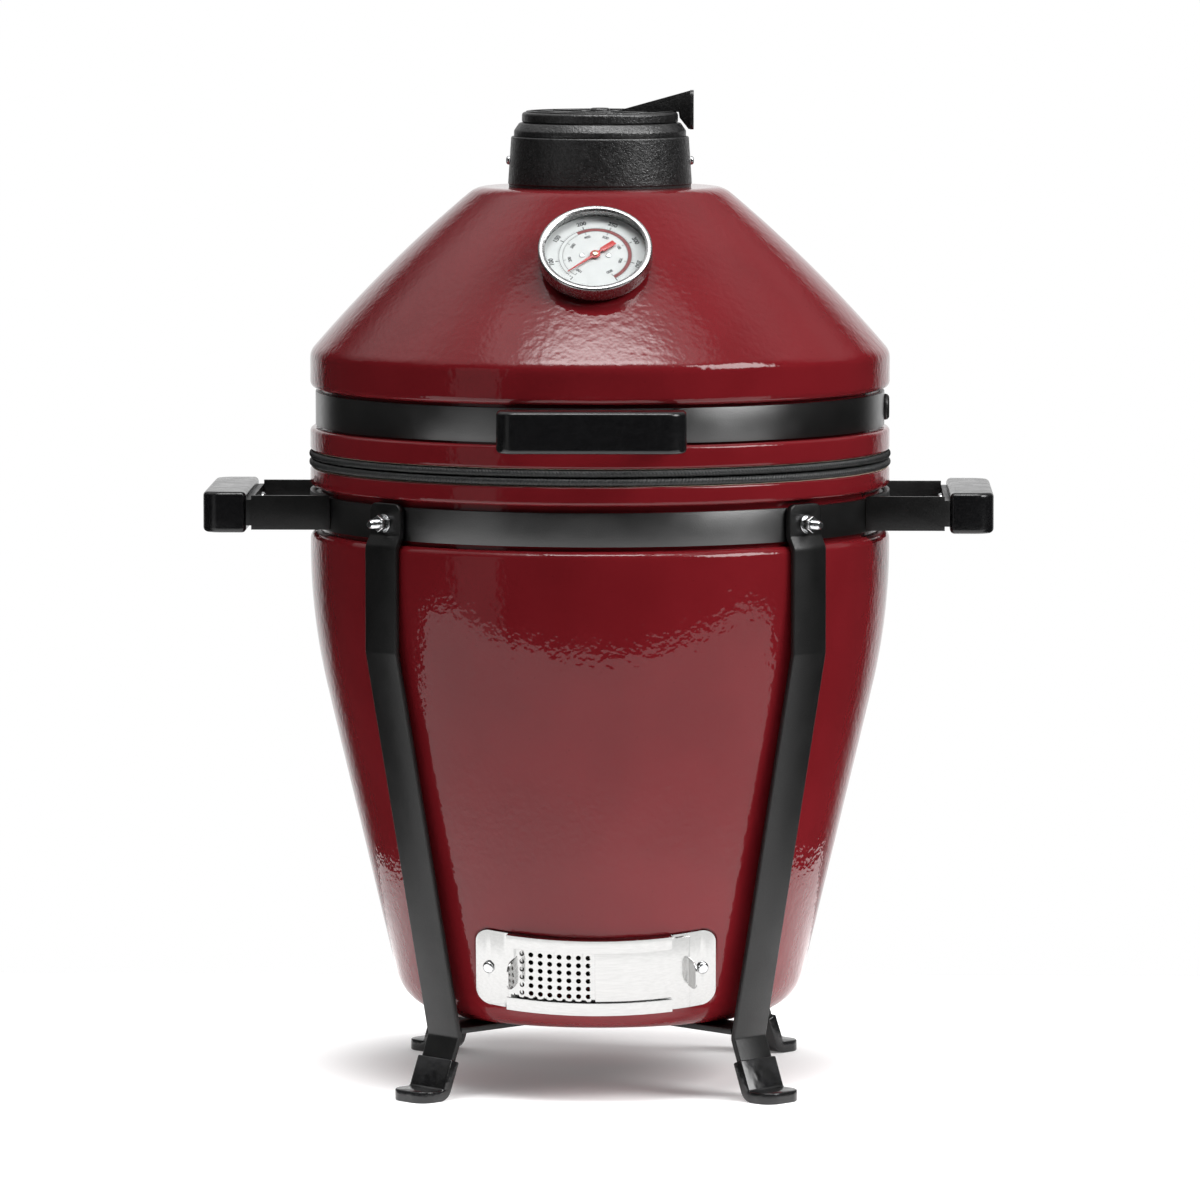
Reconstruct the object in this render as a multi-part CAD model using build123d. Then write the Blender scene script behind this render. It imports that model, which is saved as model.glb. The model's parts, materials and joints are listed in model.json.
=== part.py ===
from build123d import *
import math
import os

# Table-top ceramic charcoal grill: a thick glazed bowl and domed lid, held by two steel
# bands, on four bent strip legs. All sizes are in millimetres. +Z is up, the front is -Y,
# and the origin is on the floor under the middle of the bowl.

# ---- ceramic shell ----
body_r = 200.2
rim_bore_r = 176.2
bowl_bottom_z = 42.0
taper_foot_r = 135.6
taper_angle = 13.36
bowl_rim_z = 419.0
lid_rim_z = 430.0
bowl_floor_z = 66.0
wall = 24.0
groove_r = 193.2
lower_groove = (375.0, 405.5)
upper_groove = (446.0, 472.8)
lid_top_z = 611.2
lid_top_r = 85.3
lid_shoulder_z = 498.0
lid_wall = 22.0
flue_r = 50.0
seam_z = 424.5
seam_gap = 0.3
gasket_r = (184.0, 200.9)

# ---- steel bands and what is fixed to them ----
band_r = (193.4, 196.4)
lower_band_z = (378.0, 400.7)
upper_band_z = (447.4, 470.6)
band_gap = 14.0
plate_r = (196.7, 200.2)
strap_height = 23.4
strap_thickness = 3.5
cross_plate_height = 17.7
fastener_r = 3.0
pocket_r = 7.5
pocket_depth_r = 190.2

# ---- handles: half span, cross plate outer face, grip outer face, grip length and height ----
side_handle = {"half_span": 70.0, "cross": 240.6, "outer": 270.7, "length": 141.0, "height": 28.0}
lid_handle = {"half_span": 56.0, "cross": 239.0, "outer": 266.0, "length": 126.0, "height": 28.0}
side_handle_z = 390.8
lid_handle_z = 459.2
cross_plate_thickness = 3.6
grip_screw_share = 0.62
grip_screw_depth = 15.5
handle_rivet_angle = 8.6

# ---- legs ----
leg_angles = {"front_right": -45, "front_left": -135, "rear_left": 135, "rear_right": 45}
leg_width = 30.0
leg_bend_r = 6.0
leg_thickness = 4.2
leg_top = 403.0
leg_tab_u = 198.9
leg_face_u = 203.4
leg_knee_z = 302.0
leg_ankle = (146.5, 35.0)
leg_heel = (161.5, -3.0)
leg_toe_u = 181.5
leg_bolt_z = 389.5
leg_drop = 7.0  # the soles lie this far below the zero of every height here
cap_wall = 1.9
cap_top_z = 20.0
brace_z = (37.6, 41.8)
brace_end_u = 144.7

# ---- rear hinge ----
hinge_u = 238.0
hinge_lug_r = 11.0
hinge_pin_r = 4.0
hinge_clearance = 0.05
base_plate_t = 48.0
lid_plate_t = 43.5
hinge_plate = 4.0
stop_rod = (255.0, 404.0)
stop_tail = (36.0, 62.0)
stop_tail_r = 31.0

# ---- inside ----
fire_box_top = 268.0
grate_ledge_z = 120.0
fire_ring_top = 366.0
charcoal_grate_r = 76.0
cooking_grate_r = 162.0
grate_rod_r = 2.5
grate_rod_pitch = 22.0
grate_rim_r = 3.0
cross_rod_x = 70.0
cross_rod_reach = 149.0
weld_gap = 0.03
fire_box_panels = 5
panel_gap = 0.6

# ---- thermometer, on an axis leaning back from the lid's front ----
gauge_foot = (0.0, -136.0, 566.3)
gauge_lean = 45.0
gauge_r = 38.5
gauge_depth = (2.0, 14.0)
dial_depth = (4.8, 5.6)
needle_depth = (6.8, 7.4)
needle_angle = 220.7
stem_r = 4.0

# ---- top vent ----
collar_r = (63.4, 61.2)
collar_z = (612.8, 645.7)
vent_plate_z = (645.9, 655.0)
vent_plate_r = 59.3
vent_plate_top_r = 55.6
vent_plate_recess = 3.0
vent_seat_r = 48.6
vent_disc_z = (655.4, 662.3)
vent_disc_r = 53.8
vent_slots = 4
vent_slot_sweep = 42.0

# ---- draft vent: parts of a cylinder whose axis leans with the bowl's taper ----
draft_r = 151.6
draft_mid_z = 82.25
draft_size = (163.0, 54.0)
seat_r = 151.2
frame_layer = (0.3, 1.8)
screen_layer = (2.1, 3.1)
door_layer = (3.4, 4.4)
rail_layer = (4.7, 5.7)
rail_span = (-22.6, 19.4)
rail_lip_v = 18.0
slide_half_height = 25.4
screen_span = (-21.0, 1.5)
door_span = (0.0, 24.3)
window_x = (-49.5, -3.5)
window_half_height = 17.0
hole_r = 1.75
hole_step_deg = 2.44
hole_step_v = 5.6
tab_reach = 14.0
tab_half_height = 10.0
frame_screw_angle = 28.2
frame_screw_r = 2.0

taper = math.tan(math.radians(taper_angle))


# ---------------------------------------------------------------- helpers
def turned(*steps):
    """Solid of revolution about Z. Each step is (r, z) or (r, z, fillet radius)."""
    corners = [(step[0], step[1]) for step in steps]
    outline = make_face(Polyline(*corners, close=True))
    return revolve(Plane.XZ * rounded(outline, steps), Axis.Z)


def rounded(outline, steps):
    """Round the corners of a flat outline whose steps carry a third number."""
    for step in steps:
        if len(step) > 2:
            corner = outline.vertices().sort_by_distance((step[0], step[1], 0))[0]
            outline = fillet(corner, step[2])
    return outline


def tube(r_in, r_out, z_low, z_high):
    """Plain ring about Z."""
    height = z_high - z_low
    ring = Cylinder(r_out, height) - Cylinder(r_in, height)
    return Pos(0, 0, (z_low + z_high) / 2) * ring


def rod(radius, z_low, z_high):
    """Plain round bar about Z."""
    return Pos(0, 0, (z_low + z_high) / 2) * Cylinder(radius, z_high - z_low)


def domed_head(radius, z_low, height):
    """Low round head about Z with a rounded top edge."""
    head = rod(radius, z_low, z_low + height)
    return fillet(head.edges().group_by(Axis.Z)[-1], height * 0.8)


def hexagon(flat_width, z_low, z_high, bore_r):
    """Hexagon nut about Z."""
    outline = RegularPolygon(flat_width / 2, 6, major_radius=False) - Circle(bore_r)
    return Pos(0, 0, z_low) * extrude(outline, z_high - z_low)


def outward(angle, z, part):
    """Turn a part built along +Z so that it points outward at a compass angle and height."""
    return Rot(0, 0, angle) * (Pos(0, 0, z) * (Rot(0, 90, 0) * part))


def spun(angle, part):
    """Turn a part about the grill's own axis."""
    return Rot(0, 0, angle) * part


def side_plate(outline, thickness, offset):
    """Flat plate standing in the radial plane, from an (r, z) outline, moved sideways."""
    plate = extrude(Plane.XZ * outline, thickness / 2, both=True)
    return Pos(0, offset, 0) * plate


def sector(r_in, r_out, start, end, v_low, v_high):
    """Part of a ring between two angles, measured from the front (-Y) towards +X."""
    outer = CenterArc((0, 0), r_out, start - 90, end - start)
    inner = CenterArc((0, 0), r_in, start - 90, end - start)
    sides = [Line(inner @ 0, outer @ 0), Line(inner @ 1, outer @ 1)]
    flat = make_face([outer, inner] + sides)
    return Pos(0, 0, v_low) * extrude(flat, v_high - v_low)


def joined(parts):
    """All the parts as one shape."""
    whole = parts[0]
    for part in parts[1:]:
        whole = whole + part
    return whole


def keep(name, part):
    """Write one named piece, raised so that the soles stand on the floor."""
    part = Pos(0, 0, leg_drop) * part
    part.label = name
    export_step(part, f"parts/{name}.step")


# ---------------------------------------------------------------- placements
gauge_plane = Plane(
    origin=gauge_foot,
    x_dir=(1, 0, 0),
    z_dir=(0, -math.cos(math.radians(gauge_lean)), math.sin(math.radians(gauge_lean))),
)
lean_cos = math.cos(math.radians(taper_angle))
lean_sin = math.sin(math.radians(taper_angle))
draft_front_r = taper_foot_r + taper * (draft_mid_z - bowl_bottom_z)
draft_plane = Plane(
    origin=(0, -draft_front_r + draft_r * lean_cos, draft_mid_z + draft_r * lean_sin),
    x_dir=(1, 0, 0),
    z_dir=(0, -lean_sin, lean_cos),
)
side_rivets = [base + turn for base in (0, 180) for turn in (-handle_rivet_angle, handle_rivet_angle)]
lid_rivets = [-90 - handle_rivet_angle, -90 + handle_rivet_angle]
hinge_bolt_angles = [90 + turn for turn in (-9.8, -4.9, 4.9, 9.8)]
upper_band_bolt_angle = 0.0


# ---------------------------------------------------------------- ceramic
def ceramic_base():
    """Bowl: rounded bottom, straight taper, vertical shoulder, band groove and rim."""
    corner_z = bowl_bottom_z + (body_r - taper_foot_r) / taper
    inner_foot_r = taper_foot_r + taper * (bowl_floor_z - bowl_bottom_z) - wall / lean_cos
    inner_corner_z = bowl_floor_z + (rim_bore_r - inner_foot_r) / taper
    bowl = turned(
        (0, bowl_bottom_z),
        (taper_foot_r, bowl_bottom_z, 32),
        (body_r, corner_z, 430),
        (body_r, lower_groove[0], 6),
        (groove_r, lower_groove[0]),
        (groove_r, lower_groove[1]),
        (body_r, lower_groove[1], 3),
        (body_r, bowl_rim_z, 2.5),
        (rim_bore_r, bowl_rim_z, 3),
        (rim_bore_r, inner_corner_z, 300),
        (inner_foot_r, bowl_floor_z, 8),
        (0, bowl_floor_z),
    )
    for angle in list(leg_angles.values()) + side_rivets + hinge_bolt_angles:
        height = leg_bolt_z if angle in leg_angles.values() else side_handle_z
        bowl = bowl - outward(angle, height, rod(pocket_r, pocket_depth_r, pocket_depth_r + 8))
    seat = extrude(RectangleRounded(draft_size[0] + 2, draft_size[1] + 2, 11), 100)
    seat = draft_plane * (Pos(0, -draft_r + 50, 0) * (Rot(90, 0, 0) * seat))
    bowl = bowl - (seat - draft_plane * Cylinder(seat_r, 120))
    for angle in (-frame_screw_angle, frame_screw_angle):
        drill = rod(frame_screw_r, seat_r - 16, draft_r + 5)
        bowl = bowl - draft_plane * spun(angle - 90, Rot(0, 90, 0) * drill)
    duct_width = window_x[1] - window_x[0]
    duct = Box(duct_width, 90, 2 * window_half_height)
    middle_x = (window_x[0] + window_x[1]) / 2
    return bowl - draft_plane * (Pos(middle_x, -draft_r + 15, 0) * duct)


def ceramic_lid():
    """Dome: rim, band groove, rounded shoulder, gently bowed cone and flat flue top."""
    shoulder = (body_r, lid_shoulder_z)
    top = (lid_top_r, lid_top_z)
    bow = (151.3, 551.0)
    lean = math.radians(44.8)
    inset = (lid_wall * math.cos(lean), lid_wall * math.sin(lean))
    inner_shoulder = (rim_bore_r, lid_shoulder_z - 7.8)
    inner_top = (lid_top_r - 13.8, lid_top_z - 17.1)
    inner_bow = (bow[0] - inset[0], bow[1] - inset[1])
    edges = [
        Polyline((flue_r, lid_top_z), (flue_r, inner_top[1]), inner_top),
        ThreePointArc(inner_top, inner_bow, inner_shoulder),
        Polyline(
            inner_shoulder,
            (rim_bore_r, lid_rim_z),
            (body_r, lid_rim_z),
            (body_r, upper_groove[0]),
            (groove_r, upper_groove[0]),
            (groove_r, upper_groove[1]),
            (body_r, upper_groove[1]),
            shoulder,
        ),
        ThreePointArc(shoulder, bow, top),
        Line(top, (flue_r, lid_top_z)),
    ]
    flat_edges = []
    for edge in edges:
        flat_edges += edge.edges()
    roundings = [
        (flue_r, lid_top_z, 3),
        (flue_r, inner_top[1], 3),
        inner_top + (10,),
        inner_shoulder + (18,),
        (rim_bore_r, lid_rim_z, 3),
        (body_r, lid_rim_z, 2.5),
        (body_r, upper_groove[0], 3),
        (body_r, upper_groove[1], 5),
        shoulder + (11,),
        top + (20,),
    ]
    dome = revolve(Plane.XZ * rounded(make_face(flat_edges), roundings), Axis.Z)
    for angle in lid_rivets + hinge_bolt_angles + [upper_band_bolt_angle]:
        dome = dome - outward(angle, lid_handle_z, rod(pocket_r, pocket_depth_r, pocket_depth_r + 8))
    return dome - gauge_plane * rod(stem_r + 1, -60, 20)


def rim_gasket(z_low, z_high):
    """Soft rope-like seal ring, a rounded strip."""
    inner, outer = gasket_r
    return turned((inner, z_low, 1), (outer, z_low, 2.4), (outer, z_high, 2.4), (inner, z_high, 1))


# ---------------------------------------------------------------- bands and fasteners
def band(z_range, holes):
    """Steel strap around the ceramic, open at the rear under the hinge leaf."""
    strap = tube(*band_r, *z_range)
    strap = strap - Pos(0, band_r[1], sum(z_range) / 2) * Box(band_gap, 20, 60)
    for angle, height in holes:
        strap = strap - outward(angle, height, rod(fastener_r + 0.1, 180, 210))
    return strap


def rivet(seat_r, head_r, head_height):
    """Domed fastener along +Z: head outside the seat, shank, and a flat inner head."""
    shank = rod(fastener_r, band_r[0] - 0.2, seat_r)
    inner_head = rod(fastener_r + 2.6, band_r[0] - 2.4, band_r[0] - 0.2)
    return domed_head(head_r, seat_r, head_height) + shank + inner_head


def leg_bolt():
    """Bolt through band and leg, its head in a pocket of the ceramic."""
    head = rod(fastener_r + 3.2, band_r[0] - 2.6, band_r[0] - 0.2)
    shank = rod(fastener_r, band_r[0] - 0.2, 215.2)
    tip = chamfer(shank.edges().group_by(Axis.Z)[-1], 0.7)
    return head + tip


# ---------------------------------------------------------------- legs
def leg_path():
    """Centre line of a leg in its own radial plane."""
    return FilletPolyline(
        (leg_tab_u, 0, leg_top),
        (leg_tab_u, 0, 381),
        (leg_face_u, 0, 373),
        (leg_face_u, 0, leg_knee_z),
        (leg_ankle[0], 0, leg_ankle[1]),
        (leg_heel[0], 0, leg_heel[1]),
        (leg_toe_u, 0, leg_heel[1]),
        radius=leg_bend_r,
    )


def swept_strip(path, width, thickness):
    """Rectangular bar that follows a path in the XZ plane."""
    start = Plane(origin=path @ 0, x_dir=(0, 1, 0), z_dir=path % 0)
    return sweep(start * Rectangle(width, thickness), path=path)


def leg():
    """Bent strip: bolted tab, step out over the bowl, knee, ankle and toe."""
    strip = swept_strip(leg_path(), leg_width, leg_thickness)
    tab_corners = strip.edges().filter_by(Axis.X).group_by(Axis.Z)[-1]
    strip = fillet(tab_corners, 6)
    toe_corners = strip.edges().filter_by(Axis.Z).group_by(Axis.Z)[0]
    strip = fillet(toe_corners, 9)
    return strip - outward(0, leg_bolt_z, rod(fastener_r + 0.1, 190, 210))


def foot_cap(strip):
    """Dipped sleeve over the ankle, heel and toe of a leg."""
    slope = (leg_heel[0] - leg_ankle[0]) / (leg_ankle[1] - leg_heel[1])
    top_u = leg_heel[0] - slope * (cap_top_z - leg_heel[1])
    path = FilletPolyline(
        (top_u, 0, cap_top_z),
        (leg_heel[0], 0, leg_heel[1]),
        (leg_toe_u + cap_wall, 0, leg_heel[1]),
        radius=leg_bend_r,
    )
    sleeve = swept_strip(path, leg_width + 2 * cap_wall, leg_thickness + 2 * cap_wall)
    toe_corners = sleeve.edges().filter_by(Axis.Z).group_by(Axis.Z)[0]
    sleeve = fillet(toe_corners, 11)
    return sleeve - strip


def cross_brace():
    """Flat cross under the bowl that ties the four legs."""
    height = brace_z[1] - brace_z[0]
    bar = Box(2 * brace_end_u, leg_width, height)
    cross = spun(45, bar) + spun(-45, bar)
    return Pos(0, 0, sum(brace_z) / 2) * cross


# ---------------------------------------------------------------- handles
def grip_screw_places(handle, z):
    """Where the two grip screws go: each place turns +Z to face +X."""
    offset = handle["half_span"] * grip_screw_share
    return [Pos(0, side * offset, z) * Rot(0, 90, 0) for side in (-1, 1)]


def wrap_plate(half_width, z_low, z_high):
    """Curved plate that lies on the outside of a band, facing +X."""
    width_box = Box(60, 2 * half_width, z_high - z_low)
    return tube(*plate_r, z_low, z_high) & Pos(plate_r[1], 0, (z_low + z_high) / 2) * width_box


def handle_bracket(handle, z, rivet_angles):
    """Curved plate, two straps and a cross plate, facing +X."""
    low = z - strap_height / 2
    high = z + strap_height / 2
    edge_t = handle["half_span"] + strap_thickness / 2
    strap_end = handle["cross"] - cross_plate_thickness
    strap = Pos((150 + strap_end) / 2, 0, z) * Box(strap_end - 150, strap_thickness, strap_height)
    neck = Pos(strap_end + cross_plate_thickness / 2, 0, z)
    neck = neck * Box(cross_plate_thickness, 2 * edge_t, cross_plate_height)
    straps = joined([Pos(0, side * handle["half_span"], 0) * strap for side in (-1, 1)])
    straps = straps - rod(plate_r[0], low - 5, high + 5)
    bracket = joined([wrap_plate(edge_t, low, high), straps, neck])
    for angle in rivet_angles:
        bracket = bracket - outward(angle, z, rod(fastener_r + 0.1, 190, 210))
    for place in grip_screw_places(handle, z):
        bracket = bracket - place * rod(fastener_r + 0.1, 220, 245)
    return bracket


def handle_grip(handle, z):
    """Solid grip with rounded ends, facing +X, drilled for its two screws."""
    depth = handle["outer"] - handle["cross"]
    block = Box(depth, handle["length"], handle["height"])
    outer_corners = block.edges().filter_by(Axis.Z).group_by(Axis.X)[-1]
    block = fillet(outer_corners, 13)
    inner_corners = block.edges().filter_by(Axis.Z).group_by(Axis.X)[0]
    block = fillet(inner_corners, 3)
    rims = block.edges().group_by(Axis.Z)[-1] + block.edges().group_by(Axis.Z)[0]
    block = fillet(rims, 2.5)
    block = Pos(handle["cross"] + depth / 2, 0, z) * block
    for place in grip_screw_places(handle, z):
        block = block - place * rod(fastener_r, 200, handle["cross"] + grip_screw_depth + 0.5)
    return block


def grip_screws(handle, z):
    """Two screws from the cross plate into the grip, facing +X."""
    seat = handle["cross"] - cross_plate_thickness
    shank = rod(fastener_r, seat, handle["cross"] + grip_screw_depth)
    head = Rot(180, 0, 0) * domed_head(fastener_r + 2.2, -seat, 3)
    return joined([place * (shank + head) for place in grip_screw_places(handle, z)])


# ---------------------------------------------------------------- rear hinge
def hinge_leaf(outline, plate_offset, z_range, pin_bore_r):
    """Curved plate with two side plates that carry the pin, facing +X."""
    leaf = wrap_plate(plate_offset + hinge_plate / 2, *z_range)
    lug = Pos(hinge_u, seam_z) * Circle(hinge_lug_r)
    cheek = outline + lug - Pos(hinge_u, seam_z) * Circle(pin_bore_r)
    cheeks = joined([side_plate(cheek, hinge_plate, side * plate_offset) for side in (-1, 1)])
    leaf = leaf + (cheeks - rod(plate_r[0], 300, 600))
    for angle in hinge_bolt_angles:
        z = sum(z_range) / 2
        leaf = leaf - outward(angle - 90, z, rod(fastener_r + 0.1, 190, 210))
    return leaf


def hinge_base_leaf():
    """Lower leaf: cheeks rise from the lower band, with a hole for the stop rod."""
    cheek = make_face(
        Polyline(
            (190, 379.2),
            (250, 385),
            (262, 396),
            (262, 411),
            (248, 427),
            (229, 432),
            (214, 402.4),
            (190, 402.4),
            close=True,
        )
    )
    leaf = hinge_leaf(cheek, base_plate_t, (379.1, 402.5), hinge_pin_r)
    rod_hole = Pos(stop_rod[0], 0, stop_rod[1]) * (Rot(90, 0, 0) * rod(hinge_pin_r, -80, 80))
    return leaf - rod_hole


def hinge_lid_leaf():
    """Upper leaf: cheeks reach down to the pin, with a tail that meets the stop rod."""
    cheek = make_face(
        Polyline((190, 447.5), (190, 470.9), (208, 470.9), (246, 432), (229, 420), (206, 447.5), close=True)
    )
    tail_points = [(0, 0)]
    for angle in stop_tail:
        reach = stop_tail_r
        tail_points.append((reach * math.cos(math.radians(angle)), reach * math.sin(math.radians(angle))))
    tail = Pos(hinge_u, seam_z) * make_face(Polyline(*tail_points, close=True))
    return hinge_leaf(cheek + tail, lid_plate_t, (447.5, 470.9), hinge_pin_r + hinge_clearance)


def across(part, u, z):
    """Turn a part built along Z to lie across the hinge, at a radius and height."""
    return Pos(u, 0, z) * (Rot(90, 0, 0) * part)


def hinge_pin():
    """Pin with one domed head, through all four cheeks."""
    half = base_plate_t + hinge_plate / 2
    return rod(hinge_pin_r, -half - 7, half) + domed_head(hinge_pin_r + 3, half, 3)


def hinge_spring(side):
    """Close-wound torsion spring on the pin: a ribbed sleeve, one rib for each turn."""
    wire_r = 1.5
    turns = 9
    coil = tube(5.2, 8.0, 0, turns * 2 * wire_r)
    for turn in range(turns):
        coil = coil + Pos(0, 0, (2 * turn + 1) * wire_r) * Torus(8.0, wire_r)
    tail = Pos(0, -8.0, wire_r) * (Rot(0, -90, 0) * rod(wire_r, 0, 24))
    return Pos(0, 0, 8 if side > 0 else -8 - turns * 2 * wire_r) * (coil + tail)


# ---------------------------------------------------------------- inside the bowl
def fire_box():
    """Fire bowl of five ceramic panels on the bowl's floor, with an air notch at the front."""
    foot_r = 109.0
    box = turned(
        (92, bowl_floor_z + 0.2),
        (foot_r, bowl_floor_z + 0.2),
        (158.3, fire_box_top, 3),
        (142, fire_box_top, 3),
        (124, 165),
        (86, 128),
        (84, grate_ledge_z),
        (68, grate_ledge_z),
        (68, 104),
        (92, 99),
    )
    middle_x = (window_x[0] + window_x[1]) / 2
    notch = Box(window_x[1] - window_x[0] + 8, 60, 70)
    box = box - Pos(middle_x, -100, 67) * notch
    sweep = 360 / fire_box_panels
    for index in range(fire_box_panels):
        joint = Pos(100, 0, 160) * Box(200, panel_gap, 300)
        box = box - spun(-90 + (index + 0.5) * sweep, joint)
    return Compound(box.solids())


def charcoal_grate():
    """Cast round grate with parallel slots, lying on the fire box ledge."""
    grate = rod(charcoal_grate_r, grate_ledge_z + 0.1, grate_ledge_z + 6.1)
    for index in range(-4, 5):
        y = index * 13.0
        half_length = math.sqrt((charcoal_grate_r - 9) ** 2 - y**2)
        grate = grate - Pos(0, y, grate_ledge_z) * Box(2 * half_length, 6.5, 30)
    return grate


def fire_ring():
    """Ceramic ring that stands on the fire box and carries the cooking grate."""
    return turned(
        (143, fire_box_top + 0.2, 3),
        (157, fire_box_top + 0.2, 3),
        (168, 322),
        (168, fire_ring_top, 3),
        (152, fire_ring_top, 3),
        (152, 318),
    )


def cooking_grate():
    """Round wire grate: rim wire, parallel rods inside it, and two cross rods under them."""
    z = fire_ring_top + grate_rim_r + 0.2
    rim = tube(cooking_grate_r - grate_rim_r, cooking_grate_r + grate_rim_r, z - grate_rim_r, z + grate_rim_r)
    reach = cooking_grate_r - grate_rim_r - weld_gap
    wires = [rim]
    rows = int(0.85 * cooking_grate_r / grate_rod_pitch)
    for row in range(-rows, rows + 1):
        y = row * grate_rod_pitch
        half_length = math.sqrt(reach**2 - (abs(y) + grate_rod_r) ** 2)
        wires.append(Pos(0, y, z) * (Rot(0, 90, 0) * rod(grate_rod_r, -half_length, half_length)))
    below = z - 2 * grate_rod_r - weld_gap
    for x in (-cross_rod_x, cross_rod_x):
        half_length = math.sqrt(cross_rod_reach**2 - x**2)
        wires.append(Pos(x, 0, below) * (Rot(90, 0, 0) * rod(grate_rod_r, -half_length, half_length)))
    return Compound(wires)


# ---------------------------------------------------------------- draft vent
def draft_layer(layer, span, v_low, v_high):
    """Curved plate of the draft vent, before it leans with the bowl."""
    return sector(draft_r + layer[0], draft_r + layer[1], *span, v_low, v_high)


def end_tab(layer, angle):
    """Finger tab bent outward at the end of a sliding plate, with rounded corners."""
    reach = tab_reach
    thickness = layer[1] - layer[0]
    flat = Box(reach, thickness * 1.2, 2 * tab_half_height)
    flat = fillet(flat.edges().filter_by(Axis.Y).group_by(Axis.X)[-1], 7)
    flat = Pos(draft_r + layer[0] + reach / 2, 0, 0) * flat
    return spun(angle - 90, flat)


def draft_frame():
    """Curved frame plate with a window and two folded rails."""
    half_height = draft_size[1] / 2
    plate = draft_layer(frame_layer, (-40, 40), -half_height, half_height)
    outline = extrude(RectangleRounded(*draft_size, 10), 120)
    plate = plate & Pos(0, -draft_r + 60, 0) * (Rot(90, 0, 0) * outline)
    middle_x = (window_x[0] + window_x[1]) / 2
    window = Box(window_x[1] - window_x[0], 60, 2 * window_half_height)
    plate = plate - Pos(middle_x, -draft_r, 0) * window
    for side in (-1, 1):
        fold = sorted([side * half_height, side * (half_height - 1.1)])
        lip = sorted([side * half_height, side * rail_lip_v])
        plate = plate + draft_layer((frame_layer[1] - 0.1, rail_layer[1]), rail_span, *fold)
        plate = plate + draft_layer(rail_layer, rail_span, *lip)
    for angle in (-frame_screw_angle, frame_screw_angle):
        plate = plate - spun(angle - 90, Rot(0, 90, 0) * rod(frame_screw_r + 0.1, 140, 160))
    return draft_plane * plate


def draft_screen():
    """Perforated plate behind the door, with a finger tab on its left end."""
    plate = draft_layer(screen_layer, screen_span, -slide_half_height, slide_half_height)
    first_angle = screen_span[0] + 2.2
    for column in range(8):
        for row in range(6):
            angle = first_angle + column * hole_step_deg
            height = (row - 2.5) * hole_step_v
            drill = Pos(0, 0, height) * (Rot(0, 90, 0) * rod(hole_r, 140, 165))
            plate = plate - spun(angle - 90, drill)
    return draft_plane * (plate + end_tab(screen_layer, screen_span[0] + 0.3))


def draft_door():
    """Solid sliding plate over the screen, with a finger tab on its right end."""
    plate = draft_layer(door_layer, door_span, -slide_half_height, slide_half_height)
    return draft_plane * (plate + end_tab(door_layer, door_span[1] - 0.3))


def draft_frame_screws():
    """Two round-head screws that hold the frame to the bowl."""
    seat = draft_r + frame_layer[1]
    screw = rod(frame_screw_r, seat - 14, seat) + domed_head(4.2, seat, 2.4)
    return [spun(angle - 90, Rot(0, 90, 0) * screw) for angle in (-frame_screw_angle, frame_screw_angle)]


# ---------------------------------------------------------------- thermometer
def thermometer_case():
    """Cup with two posts for the dial and a bore for the stem."""
    low = gauge_depth[0]
    cup = rod(gauge_r - 1.5, low, gauge_depth[1] - 2) - rod(gauge_r - 2.5, low + 1.2, 20)
    for side in (-1, 1):
        cup = cup + Pos(side * 9, 0, 0) * rod(1.8, low + 1, dial_depth[0])
    return cup - rod(stem_r, 0, 5)


def thermometer_bezel():
    """Polished ring around the case, with a lip over the glass."""
    low, high = gauge_depth
    return turned(
        (gauge_r - 1.4, low),
        (gauge_r - 0.8, low),
        (gauge_r, low + 2),
        (gauge_r, high, 1.2),
        (gauge_r - 4.5, high, 0.6),
        (gauge_r - 4.5, high - 1.4),
        (gauge_r - 1.4, high - 1.4),
    )


def thermometer_stem():
    """Probe through the lid, with a collar under the case and a hub for the needle."""
    low = gauge_depth[0]
    probe = rod(stem_r, -75, low + 1.2) + rod(8.5, 0.7, low)
    hub = rod(1.2, low + 1.2, needle_depth[1] + 0.3)
    return probe + hub


def needle():
    """Pointer with a broad tail and a round boss that turns on the hub."""
    blade = make_face(Polyline((3, -1.0), (24.0, -0.25), (24.0, 0.25), (3, 1.0), close=True))
    tail = Pos(-11.2, 0) * Rectangle(11.0, 4.0)
    neck = Pos(-4, 0) * Rectangle(6, 1.6)
    pointer = blade + Circle(3.4) + neck + tail - Circle(1.25)
    pointer = Pos(0, 0, needle_depth[0]) * extrude(pointer, needle_depth[1] - needle_depth[0])
    return gauge_plane * spun(needle_angle, pointer)


# ---------------------------------------------------------------- top vent
def vent_slot(z_low, z_high, turn):
    """Cutter for one air slot of the vent, swept over an angle."""
    return sector(20, 46, turn - vent_slot_sweep / 2, turn + vent_slot_sweep / 2, z_low, z_high)


def vent_collar():
    """Cast collar on the flue, slightly conical, with a seat for the slotted plate."""
    low, high = collar_z
    return turned(
        (53, low),
        (collar_r[0], low, 0.8),
        (collar_r[1], high, 1.2),
        (49, high),
        (49, high - 4, 1),
        (54, high - 9, 3),
    )


def slotted(part, z_range):
    """Cut the vent's air slots."""
    for index in range(vent_slots):
        part = part - vent_slot(z_range[0] - 1, z_range[1] + 1, index * 360 / vent_slots)
    return part


def vent_plate():
    """Fixed top of the vent with a rounded shoulder and air slots."""
    low, high = vent_plate_z
    plate = turned(
        (0, low + vent_plate_recess),
        (vent_seat_r, low + vent_plate_recess),
        (vent_seat_r, low),
        (vent_plate_r, low),
        (vent_plate_r, low + 3.6, 2),
        (vent_plate_top_r, high, 2),
        (0, high),
    )
    return slotted(plate, vent_plate_z) - rod(fastener_r, 600, 700)


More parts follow.
